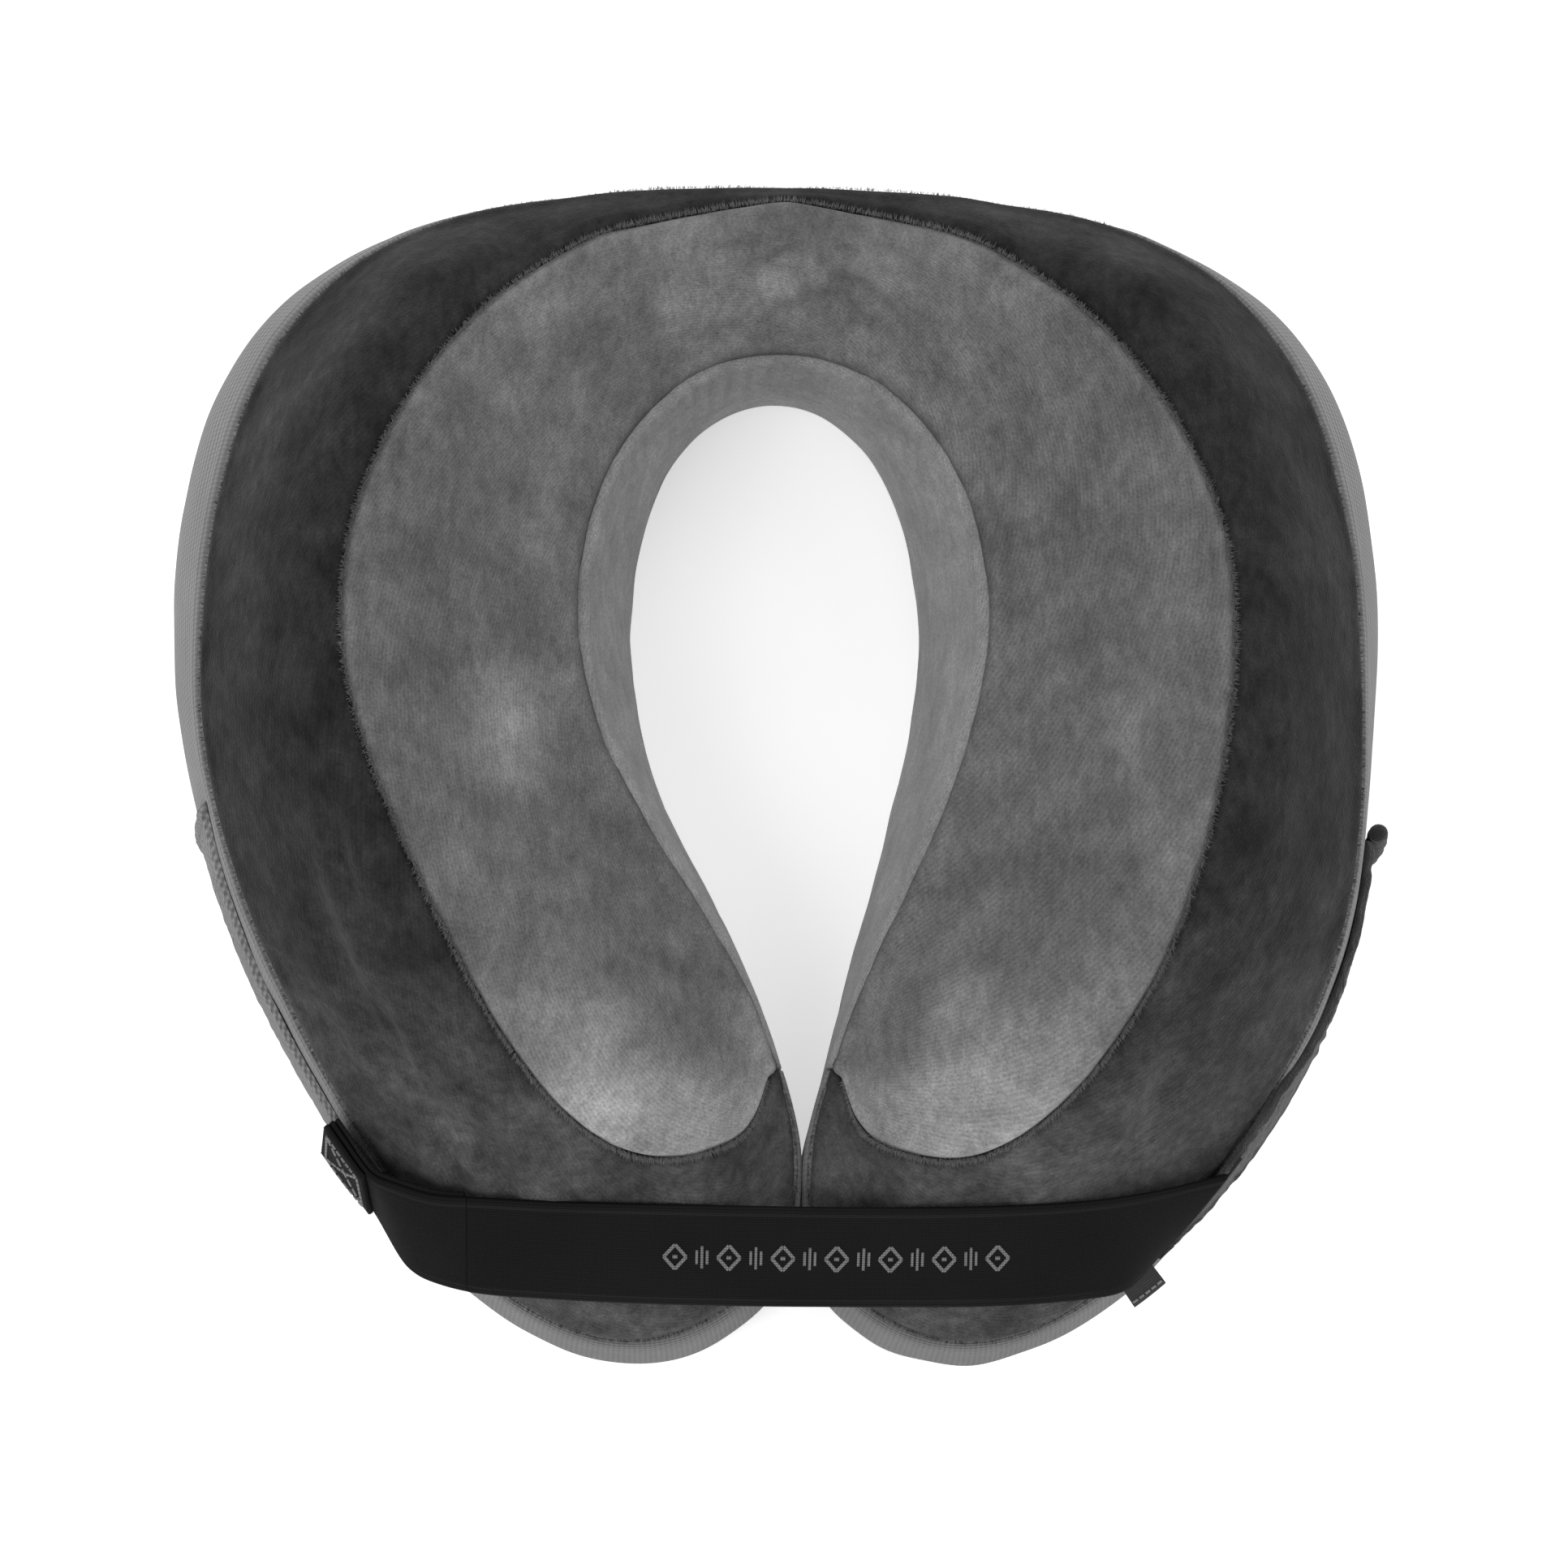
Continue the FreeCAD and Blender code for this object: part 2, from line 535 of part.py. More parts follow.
def on_tab(s, f, lift):
    """Point on the grip tab, s along it from the corner, f from its top edge down."""
    k = min(1, int(s * 2))
    r = s * 2 - k
    top = tab[k][0] * (1 - r) + tab[k + 1][0] * r
    bottom = tab[k][1] * (1 - r) + tab[k + 1][1] * r
    inward = (bottom - top).cross(tab[k + 1][0] - tab[k][0])
    inward.normalize()
    return top + (bottom - top) * f - inward * lift


stitches = []
corners = [(0.12, 0.12), (0.9, 0.12), (0.9, 0.88), (0.12, 0.88), (0.12, 0.12), (0.9, 0.88),
           (0.9, 0.12), (0.12, 0.88)]
legs = [(corners[i], corners[i + 1], 7) for i in (0, 1, 2, 3, 4)] + [(corners[6], corners[7], 7)]
for (s0, f0), (s1, f1), count in legs:
    for k in range(count):
        a, b = (k + 0.15) / count, (k + 0.85) / count
        stitches.append(thread(on_tab(s0 + (s1 - s0) * a, f0 + (f1 - f0) * a, STRAP_THICK + 0.3),
                               on_tab(s0 + (s1 - s0) * b, f0 + (f1 - f0) * b, STRAP_THICK + 0.3), 0.3))
write(Part.makeCompound(stitches), "tab_box_stitch")

# folded side label caught in the lobe's seam under the splice
label = [(wall_point(t, 28.6, 1.5, 1), wall_point(t, 26.2, 5.6, 1)) for t in (0.517, 0.5235, 0.530)]
write(ribbon(label, 0, 1.2), "side_label")
rows = []
for i in range(5):
    t = 0.5175 + 0.0125 * (i + 0.15) / 5
    ends = [wall_point(t + d, 26.8, 4.6, 1) for d in (0.0, 0.0018)]
    rows.append(thread(ends[0], ends[1], 0.3))
write(Part.makeCompound(rows), "side_label_stitch")
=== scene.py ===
import math

import bmesh
import bpy
import numpy as np
from mathutils import Matrix, Vector


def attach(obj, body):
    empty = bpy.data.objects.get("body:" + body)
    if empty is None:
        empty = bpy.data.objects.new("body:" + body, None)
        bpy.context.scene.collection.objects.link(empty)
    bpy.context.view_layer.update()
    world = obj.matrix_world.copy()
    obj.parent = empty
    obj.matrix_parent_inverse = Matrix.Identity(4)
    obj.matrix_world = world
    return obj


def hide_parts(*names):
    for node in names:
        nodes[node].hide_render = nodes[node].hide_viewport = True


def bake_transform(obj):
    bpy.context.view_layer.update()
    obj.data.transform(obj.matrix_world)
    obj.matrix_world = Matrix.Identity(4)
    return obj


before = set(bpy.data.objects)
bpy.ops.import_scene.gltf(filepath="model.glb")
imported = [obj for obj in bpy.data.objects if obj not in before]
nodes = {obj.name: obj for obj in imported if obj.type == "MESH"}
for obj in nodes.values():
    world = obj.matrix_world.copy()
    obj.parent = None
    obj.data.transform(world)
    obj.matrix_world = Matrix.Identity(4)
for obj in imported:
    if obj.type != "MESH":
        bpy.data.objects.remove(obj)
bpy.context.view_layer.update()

# ------------------------------------------------------------ the cushion's stations, in millimetres

CENTRE = np.array([0.8, 4.6, 0.0])
LEAN, LEAN_FROM, LEAN_TO = 5.6, 20.0, -66.0
SEAM = np.array([
    (0.0, 139.5, 86.0, 1.5, 48.0, 9.0), (50.0, 136.0, 87.0, 3.5, 50.0, 8.0),
    (89.0, 125.5, 88.0, 9.0, 54.0, 11.0), (117.0, 102.0, 87.0, 13.0, 55.0, 14.0),
    (131.5, 66.0, 85.0, 12.0, 50.0, 13.0), (136.0, 26.0, 82.0, 8.5, 46.0, 12.0),
    (134.0, -10.0, 78.0, 4.8, 42.0, 11.0), (126.0, -42.0, 70.0, 4.0, 38.0, 10.0),
    (112.0, -71.0, 57.0, 2.8, 30.0, 9.0), (92.5, -98.0, 41.0, 3.0, 20.0, 8.0),
    (69.0, -119.0, 30.0, 3.0, 15.0, 8.0), (42.0, -129.0, 26.0, 3.0, 13.0, 8.0),
    (17.0, -121.5, 28.0, 3.0, 14.0, 7.0), (3.8, -107.0, 38.0, 1.5, 18.0, 4.0),
    (1.4, -92.0, 52.0, 0.6, 25.0, 2.5), (6.0, -70.0, 64.0, 1.5, 30.0, 2.5),
    (19.0, -41.0, 75.0, 6.0, 32.0, 4.0), (36.0, -10.0, 82.0, 11.0, 28.0, 4.0),
    (46.0, 20.0, 85.0, 13.0, 26.0, 4.0), (46.5, 48.0, 84.0, 11.0, 26.0, 4.0),
    (38.5, 74.0, 80.0, 7.0, 34.0, 5.0), (21.5, 94.0, 76.0, 2.0, 50.0, 11.0),
    (0.0, 101.0, 74.0, 0.5, 62.0, 16.0)])
TOP = np.array([
    (0.0, 130.0, 98.0), (46.0, 126.0, 101.0), (82.0, 110.0, 111.0), (102.0, 80.0, 118.0),
    (109.0, 44.0, 121.0), (108.5, 6.0, 121.0), (102.0, -28.0, 117.0), (88.0, -56.0, 106.0),
    (70.0, -80.0, 88.0), (0.0, 114.0, 90.0), (36.0, 105.0, 94.0), (62.0, 84.0, 102.0),
    (76.0, 50.0, 107.0), (76.0, 10.0, 107.0), (66.0, -28.0, 104.0), (50.0, -56.0, 98.0),
    (24.0, -78.0, 80.0), (44.0, -84.0, 85.0), (40.0, -98.0, 63.5), (40.0, -107.0, 54.0),
    (41.0, -118.0, 43.0), (68.0, -100.0, 57.0), (66.0, -110.0, 45.0), (15.0, -100.0, 57.0),
    (19.0, -110.0, 50.0), (82.0, -88.0, 64.0)])
NECK_SEAM = np.array([
    (0.0, 132.5), (37.0, 124.0), (66.0, 103.0), (89.0, 70.0), (100.0, 36.0), (99.5, 6.0),
    (91.5, -25.0), (79.5, -54.0), (62.5, -79.0), (47.0, -90.5), (33.0, -93.5), (19.0, -90.0),
    (11.0, -81.5), (8.2, -73.0)])
BASE, SEAM_GAP, EDGE_BLEND = 1.8, 0.3, 9.0
PANEL_END = 0.9985  # share of the half loop that a panel covers, so its two ends never touch
TOP_SKIN, WALL_SKIN = 1.9, 1.8


def spline(at, values, even=True):
    """Cubic through the stations; an even one runs level into both ends."""
    at, values = np.asarray(at, float), np.asarray(values, float)
    n, h = len(at), np.diff(at)
    a, b = np.zeros((n, n)), np.zeros(n)
    a[0, 0] = a[-1, -1] = 1
    slope = np.diff(values) / h
    for i in range(1, n - 1):
        a[i, i - 1:i + 2] = h[i - 1], 2 * (h[i - 1] + h[i]), h[i]
        b[i] = 6 * (slope[i] - slope[i - 1])
    if even:
        a[0, :2], b[0] = (2 * h[0], h[0]), 6 * slope[0]
        a[-1, -2:], b[-1] = (h[-1], 2 * h[-1]), -6 * slope[-1]
    m = np.linalg.solve(a, b)

    def value(t):
        t = np.asarray(t, float)
        i = np.clip(np.searchsorted(at, t) - 1, 0, n - 2)
        p, q, k = at[i + 1] - t, t - at[i], h[i]
        return ((m[i] * p ** 3 + m[i + 1] * q ** 3) / (6 * k)
                + (values[i] / k - m[i] * k / 6) * p + (values[i + 1] / k - m[i + 1] * k / 6) * q)
    return value


def lengths(points):
    steps = np.linalg.norm(np.diff(points, axis=0), axis=1)
    return np.concatenate([[0.0], np.cumsum(steps)])


SEAM_AT = lengths(SEAM[:, :2]) / lengths(SEAM[:, :2])[-1]
seam = [spline(SEAM_AT, SEAM[:, k], even=(k != 0)) for k in range(6)]
NECK_AT = lengths(NECK_SEAM) / lengths(NECK_SEAM)[-1]
neck = [spline(NECK_AT, NECK_SEAM[:, k], even=(k != 0)) for k in range(2)]
MOUTH = SEAM_AT[15]


def smooth(x, low=0.0, high=1.0):
    t = np.clip((np.asarray(x, float) - low) / (high - low), 0, 1)
    return t * t * (3 - 2 * t)


def lean(x, y):
    return x + LEAN * (1 - smooth(y, LEAN_TO, LEAN_FROM)), y


def seam_frame(t):
    t = np.asarray(t, float)
    a, b = np.maximum(0, t - 1e-4), np.minimum(1, t + 1e-4)
    tx, ty = seam[0](b) - seam[0](a), seam[1](b) - seam[1](a)
    size = np.hypot(tx, ty)
    nx, ny = -ty / size, tx / size
    ends = (t <= 0) | (t >= 1)
    return seam[0](t), seam[1](t), np.where(ends, 0.0, nx), np.where(ends, 1 - 2 * t, ny)


def wall_offset(t, z):
    seam_z, bulge, widest, inset = (seam[k](t) for k in (2, 3, 4, 5))
    low = bulge - inset * (1 - z / widest) ** 2
    high = bulge * (1 - ((z - widest) / (seam_z - widest)) ** 2)
    return np.where(z < widest, low, np.where(z < seam_z, high, 0.0))


def wall(t, z, out=0.0, side=1):
    x, y, nx, ny = seam_frame(t)
    d = wall_offset(t, z) + out
    px, py = lean(side * (x + nx * d), y + ny * d)
    return np.stack(np.broadcast_arrays(px, py, z), -1)


full = np.concatenate([SEAM[:, :3], TOP])
mirrored = full[full[:, 0] > 0] * [-1, 1, 1]
full = np.concatenate([full, mirrored])


def spread(r2):
    return np.where(r2 < 1e-9, 0.0, r2 * np.log(np.maximum(r2, 1e-12)))


count = len(full)
system = np.zeros((count + 3, count + 3))
apart = full[:, None, :2] - full[None, :, :2]
system[:count, :count] = spread((apart ** 2).sum(-1))
system[:count, count:] = np.column_stack([np.ones(count), full[:, :2]])
system[count:, :count] = system[:count, count:].T
weights = np.linalg.solve(system, np.concatenate([full[:, 2], np.zeros(3)]))


def top_height(x, y):
    total = weights[count] + weights[count + 1] * x + weights[count + 2] * y
    for w, (a, b, _) in zip(weights[:count], full):
        total = total + w * spread((x - a) ** 2 + (y - b) ** 2)
    return total


def top_point(side, start, end, v, deep, edge_normal, edge_distance):
    x, y = start[0] + (end[0] - start[0]) * v, start[1] + (end[1] - start[1]) * v
    d = 0.05
    sx = (top_height(x + d, y) - top_height(x - d, y)) / (2 * d)
    sy = (top_height(x, y + d) - top_height(x, y - d)) / (2 * d)
    size = np.sqrt(1 + sx ** 2 + sy ** 2)
    nx, ny, nz = -sx / size, -sy / size, 1 / size
    mix = smooth(1 - edge_distance / EDGE_BLEND)
    nx, ny, nz = nx + (edge_normal[0] - nx) * mix, ny + (edge_normal[1] - ny) * mix, nz * (1 - mix)
    px, py = lean(side * (x - deep * nx), y - deep * ny)
    return np.stack([px, py, top_height(x, y) - deep * nz], -1)


def turn(a):
    return a + 0.425 * a * (1 - a)


def ring(u, v, deep):
    a, side = np.abs(u), np.where(u >= 0, 1, -1)
    x, y, nx, ny = seam_frame(a * MOUTH)
    end = (neck[0](turn(a)), neck[1](turn(a)))
    length = np.hypot(end[0] - x, end[1] - y)
    v = v * (1 - SEAM_GAP / 2 / length)
    return top_point(side, (x, y), end, v, deep, (nx, ny), v * length)


def neck_top(u, v, deep):
    a, side = np.abs(u), np.where(u >= 0, 1, -1)
    x, y, nx, ny = seam_frame(1 - a * (1 - MOUTH))
    start = (neck[0](turn(a)), neck[1](turn(a)))
    length = np.hypot(start[0] - x, start[1] - y)
    v = v + (1 - v) * SEAM_GAP / 2 / length
    return top_point(side, start, (x, y), v, deep, (nx, ny), (1 - v) * length)


# ------------------------------------------------------------ small tools

def lattice(cell, seed):
    """A repeatable value from -1 to 1 for each whole-number cell."""
    h = cell[..., 0] * 374761393 + cell[..., 1] * 668265263 + cell[..., 2] * 2147483647
    h = (h + seed * 144665) & 0xFFFFFFFF
    h = ((h ^ (h >> 13)) * 1274126177) & 0xFFFFFFFF
    return ((h ^ (h >> 16)) & 0xFFFF) / 32767.5 - 1


def noise(p, size, seed=0):
    """Smooth noise from -1 to 1 with features of the given size in millimetres."""
    q = p / size
    base = np.floor(q).astype(np.int64)
    f = q - base
    f = f * f * (3 - 2 * f)
    total = 0.0
    for k in range(8):
        corner = np.array([k & 1, (k >> 1) & 1, k >> 2])
        w = np.prod(np.where(corner == 1, f, 1 - f), axis=-1)
        total = total + w * lattice(base + corner, seed)
    return total


def normals(grid):
    du, dv = np.gradient(grid, axis=0), np.gradient(grid, axis=1)
    n = np.cross(du, dv)
    return n / np.maximum(np.linalg.norm(n, axis=-1, keepdims=True), 1e-9)


def mesh_object(name, points, faces, uv=None, shade=None):
    """Piece from points in millimetres; uv is per point, in metres."""
    mesh = bpy.data.meshes.new(name)
    mesh.from_pydata((points.reshape(-1, 3) - CENTRE) * 0.001, [], [tuple(f) for f in faces])
    mesh.validate()
    if uv is not None:
        layer = mesh.uv_layers.new(name="UVMap")
        loop = np.zeros(len(mesh.loops), np.int32)
        mesh.loops.foreach_get("vertex_index", loop)
        layer.data.foreach_set("uv", uv.reshape(-1, 2)[loop].astype(np.float32).ravel())
    if shade is not None:
        attribute = mesh.attributes.new("shade", "FLOAT", "POINT")
        attribute.data.foreach_set("value", shade.ravel().astype(np.float32))
    mesh.shade_smooth()
    obj = bpy.data.objects.new(name, mesh)
    bpy.context.scene.collection.objects.link(obj)
    return obj


def shell(name, outer, inner, shade=None, uv=None):
    """Closed skin between two grids of the same size, the outer one seen."""
    nu, nv = outer.shape[:2]
    index = np.arange(nu * nv).reshape(nu, nv)
    a, b = index[:-1, :-1].ravel(), index[1:, :-1].ravel()
    c, d = index[1:, 1:].ravel(), index[:-1, 1:].ravel()
    far = nu * nv
    faces = list(zip(a, b, c, d)) + list(zip(d + far, c + far, b + far, a + far))
    rim = list(index[:-1, 0]) + list(index[-1, :-1]) + list(index[:0:-1, -1]) + list(index[0, :0:-1])
    faces += [(rim[(i + 1) % len(rim)], rim[i], rim[i] + far, rim[(i + 1) % len(rim)] + far)
              for i in range(len(rim))]
    if uv is None:
        along = np.linalg.norm(np.diff(outer, axis=0), axis=-1).mean(1)
        across = np.linalg.norm(np.diff(outer, axis=1), axis=-1).mean(0)
        u, v = np.concatenate([[0], np.cumsum(along)]), np.concatenate([[0], np.cumsum(across)])
        uv = np.stack(np.meshgrid(u, v, indexing="ij"), -1) * 0.001
    shade = np.ones((nu, nv)) if shade is None else shade
    centre_out = normals(outer).reshape(-1, 3)
    toward = (outer - inner).reshape(-1, 3)
    if (centre_out * toward).sum() < 0:
        faces = [f[::-1] for f in faces]
    return mesh_object(name, np.concatenate([outer.reshape(-1, 3), inner.reshape(-1, 3)]), faces,
                       np.concatenate([uv.reshape(-1, 2)] * 2), np.concatenate([shade.ravel()] * 2))


def join(parts):
    """One (points, faces) from several."""
    points, faces, start = [], [], 0
    for p, f in parts:
        points.append(p)
        faces += [tuple(i + start for i in face) for face in f]
        start += len(p)
    return np.concatenate(points), faces


def tube(path, radius, sides=6):
    """Closed round tube along a path of points; the radius may be one number per point."""
    path = np.asarray(path, float)
    along = np.gradient(path, axis=0)
    along /= np.linalg.norm(along, axis=1, keepdims=True)
    up = np.array([0.0, 0.0, 1.0]) if abs(along[:, 2]).mean() < 0.8 else np.array([1.0, 0.0, 0.0])
    a = np.cross(along, up)
    a /= np.linalg.norm(a, axis=1, keepdims=True)
    b = np.cross(along, a)
    turns = np.arange(sides) * 2 * math.pi / sides
    radius = np.broadcast_to(np.asarray(radius, float), (len(path),))[:, None, None]
    rings = path[:, None] + radius * (np.cos(turns)[None, :, None] * a[:, None]
                                      + np.sin(turns)[None, :, None] * b[:, None])
    n, faces = len(path), []
    for i in range(n - 1):
        for k in range(sides):
            m = (k + 1) % sides
            faces.append((i * sides + k, i * sides + m, (i + 1) * sides + m, (i + 1) * sides + k))
    faces.append(tuple(range(sides))[::-1])
    faces.append(tuple((n - 1) * sides + k for k in range(sides)))
    return rings.reshape(-1, 3), faces


# ------------------------------------------------------------ materials

class Cloth:
    """Node material built in steps: rows run on the piece's UVs, in metres, grain on its own axes or UVs."""

    def __init__(self, name, colour, roughness=0.9, sheen=0.0, sheen_roughness=0.5, metallic=0.0,
                 specular=0.08):
        self.mat = bpy.data.materials.new(name)
        self.mat.use_nodes = True
        self.tree = self.mat.node_tree
        self.shader = self.tree.nodes["Principled BSDF"]
        self.shader.inputs["Roughness"].default_value = roughness
        self.shader.inputs["Metallic"].default_value = metallic
        self.shader.inputs["Specular IOR Level"].default_value = specular
        self.shader.inputs["Sheen Weight"].default_value = sheen
        self.shader.inputs["Sheen Roughness"].default_value = sheen_roughness
        self.colour = colour
        self.value = None
        self.height = None
        self.uv = self.node("ShaderNodeUVMap").outputs[0]
        self.place = self.node("ShaderNodeTexCoord").outputs["Object"]

    def node(self, kind, **values):
        made = self.tree.nodes.new(kind)
        for key, value in values.items():
            setattr(made, key, value)
        return made

    def math(self, operation, a, b=0.0):
        made = self.node("ShaderNodeMath", operation=operation)
        for socket, value in zip(made.inputs, (a, b)):
            if isinstance(value, (int, float)):
                socket.default_value = value
            else:
                self.tree.links.new(value, socket)
        return made.outputs[0]

    def axis(self, which, angle=0.0):
        parts = self.node("ShaderNodeSeparateXYZ")
        self.tree.links.new(self.uv, parts.inputs[0])
        x, y = parts.outputs[0], parts.outputs[1]
        c, s = math.cos(angle), math.sin(angle)
        if which == "u":
            return self.math("ADD", self.math("MULTIPLY", x, c), self.math("MULTIPLY", y, s))
        return self.math("SUBTRACT", self.math("MULTIPLY", y, c), self.math("MULTIPLY", x, s))

    def rows(self, which, period, angle=0.0):
        """Rounded ridges from 0 to 1 with a period in millimetres."""
        wave = self.math("SINE", self.math("MULTIPLY", self.axis(which, angle), 2000 * math.pi / period))
        return self.math("ADD", self.math("MULTIPLY", wave, 0.5), 0.5)

    def grain(self, size, detail=3.0, stretch=None, on="place"):
        """Noise from 0 to 1 with features of a size in millimetres."""
        tex = self.node("ShaderNodeTexNoise")
        tex.inputs["Scale"].default_value = 1000.0 / size
        tex.inputs["Detail"].default_value = detail
        source = self.place if on == "place" else self.uv
        if stretch:
            mapping = self.node("ShaderNodeMapping")
            mapping.inputs["Scale"].default_value = stretch
            self.tree.links.new(source, mapping.inputs[0])
            source = mapping.outputs[0]
        self.tree.links.new(source, tex.inputs["Vector"])
        return tex.outputs[0]

    def tone(self, source, low, high):
        """Multiply the colour by low..high as the source runs 0..1."""
        factor = self.math("ADD", self.math("MULTIPLY", source, high - low), low)
        self.value = factor if self.value is None else self.math("MULTIPLY", self.value, factor)
        return self

    def shade(self):
        attribute = self.node("ShaderNodeAttribute", attribute_name="shade")
        out = attribute.outputs["Fac"]
        self.value = out if self.value is None else self.math("MULTIPLY", self.value, out)
        return self

    def rise(self, source, amount):
        """Add a height in millimetres."""
        part = self.math("MULTIPLY", source, amount * 0.001)
        self.height = part if self.height is None else self.math("ADD", self.height, part)
        return self

    def done(self):
        mix = self.node("ShaderNodeVectorMath", operation="SCALE")
        mix.inputs[0].default_value = self.colour
        self.tree.links.new(self.value, mix.inputs["Scale"])
        self.tree.links.new(mix.outputs[0], self.shader.inputs["Base Color"])
        if self.height is not None:
            bump = self.node("ShaderNodeBump")
            bump.inputs["Distance"].default_value = 1.0
            self.tree.links.new(self.height, bump.inputs["Height"])
            self.tree.links.new(bump.outputs[0], self.shader.inputs["Normal"])
        return self.mat


def srgb(level, tint=(1, 1, 1)):
    c = level / 255
    linear = c / 12.92 if c < 0.04045 else ((c + 0.055) / 1.055) ** 2.4
    return tuple(linear * t for t in tint)


def velour(name, level, sheen, contrast=1.0):
    m = Cloth(name, srgb(level), roughness=0.95, sheen=sheen, sheen_roughness=0.45)
    m.tone(m.grain(36, 3, (1.0, 0.7, 1.0)), 1 - 0.55 * contrast, 1 + 0.55 * contrast)
    m.tone(m.grain(13, 6), 1 - 0.95 * contrast, 1 + 0.95 * contrast)
    m.tone(m.grain(2.4, 4, (1.0, 0.5, 1.0)), 1 - 0.7 * contrast, 1 + 0.7 * contrast)
    m.tone(m.rows("v", 0.95, 0.30), 0.93, 1.07)
    m.tone(m.grain(0.6, 3), 0.45, 1.55)
    m.shade()
    m.rise(m.grain(0.6, 3), 0.3).rise(m.rows("v", 0.95, 0.30), 0.03).rise(m.grain(7, 4), 0.7)
    return m.done()


def knit(name, level, course=1.5, wale=1.25, sheen=0.15):
    m = Cloth(name, srgb(level), roughness=0.95, sheen=sheen)
    m.tone(m.rows("v", course), 0.82, 1.12).tone(m.rows("u", wale), 0.88, 1.08)
    m.tone(m.grain(9, 3), 0.90, 1.10).tone(m.grain(0.45, 2), 0.86, 1.14).shade()
    m.rise(m.rows("v", course), 0.22).rise(m.rows("u", wale), 0.10).rise(m.grain(0.4, 2), 0.08)
    return m.done()


DARK = velour("dark_velour", 38, 0.05)
GREY = velour("grey_velour", 98, 0.08, 0.6)
PALE = velour("pale_velour", 142, 0.12, 0.4)
WALL = knit("wall_knit", 118)
UNDER = knit("base_knit", 84, 2.4, 2.4, 0.05)

m = Cloth("loop_knit", srgb(122), roughness=0.95, sheen=0.2)
m.tone(m.rows("v", 1.5, 0.7), 0.62, 1.15).tone(m.rows("u", 1.5, 0.7), 0.75, 1.1)
m.tone(m.grain(0.35, 2), 0.7, 1.3).shade()
LOOPS = m.rise(m.rows("v", 1.5, 0.7), 0.3).rise(m.grain(0.35, 3), 0.4).done()

m = Cloth("loop_band", srgb(46), roughness=0.97, sheen=0.25)
m.tone(m.grain(0.45, 3), 0.55, 1.5).tone(m.grain(6, 3), 0.8, 1.25).shade()
BAND = m.rise(m.grain(0.45, 3), 0.5).rise(m.grain(3, 2), 0.3).done()

m = Cloth("elastic", srgb(22), roughness=0.8, specular=0.05)
m.tone(m.rows("v", 0.62), 0.72, 1.22).tone(m.rows("u", 0.55), 0.86, 1.12)
m.tone(m.grain(14, 2, on="uv"), 0.88, 1.14)
m.tone(m.grain(0.4, 2, on="uv"), 0.8, 1.2).shade()
ELASTIC = m.rise(m.rows("v", 0.62), 0.10).rise(m.rows("u", 0.55), 0.05).done()

m = Cloth("motif_yarn", srgb(112), roughness=0.85, sheen=0.1)
m.tone(m.rows("v", 0.62), 0.55, 1.2).tone(m.rows("u", 0.55), 0.75, 1.15)
m.tone(m.grain(0.6, 2, on="uv"), 0.7, 1.3)
MOTIF = m.rise(m.rows("v", 0.62), 0.12).done()

m = Cloth("hook_tape", srgb(22), roughness=0.7)
m.tone(m.grain(0.5, 3, on="uv"), 0.6, 1.6).shade()
HOOKS = m.rise(m.rows("u", 1.3), 0.3).rise(m.rows("v", 1.3), 0.3).done()


def yarn(name, level):
    m = Cloth(name, srgb(level), roughness=0.8, sheen=0.1)
    m.tone(m.grain(0.5, 2), 0.7, 1.25).tone(m.grain(4, 2), 0.9, 1.1)
    return m.rise(m.grain(0.3, 2), 0.1).done()


DARK_THREAD, LIGHT_THREAD = yarn("dark_thread", 40), yarn("light_thread", 120)

m = Cloth("label_satin", srgb(52), roughness=0.5, sheen=0.1)
m.tone(m.rows("v", 0.7), 0.8, 1.15).tone(m.grain(1.5, 3), 0.85, 1.15)
LABEL = m.rise(m.rows("v", 0.7), 0.05).done()
m = Cloth("zip_tape", srgb(64), roughness=0.85, sheen=0.05)
m.tone(m.rows("u", 0.9, 0.8), 0.75, 1.15).tone(m.grain(0.6, 2), 0.85, 1.15)
TAPE = m.rise(m.rows("u", 0.9, 0.8), 0.12).done()
m = Cloth("zip_coil", srgb(60), roughness=0.4, specular=0.4)
COIL = m.tone(m.grain(1.0, 2), 0.85, 1.15).done()
m = Cloth("zip_metal", srgb(120), roughness=0.35, metallic=0.9, specular=0.5)
METAL = m.tone(m.grain(3, 4), 0.8, 1.15).rise(m.grain(1.5, 3), 0.03).done()
m = Cloth("foam", srgb(196, (1.0, 0.98, 0.9)), roughness=0.95)
FOAM = m.tone(m.grain(1.2, 3), 0.85, 1.1).rise(m.grain(1.2, 3), 0.25).done()


def finish_piece(obj, material, body=None, replaces=()):
    obj.data.materials.clear()
    obj.data.materials.append(material)
    if body:
        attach(obj, body)
    if replaces:
        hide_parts(*replaces)
    return obj


# ------------------------------------------------------------ cover panels

def seam_roll(d, groove=1.1, bead=0.45, at=3.2):
    """Height of cloth near a sewn edge: it dives into the seam behind a soft rolled bead."""
    return -groove * np.exp(-(d / 1.0) ** 2) + bead * np.exp(-((d - at) / 2.0) ** 2)


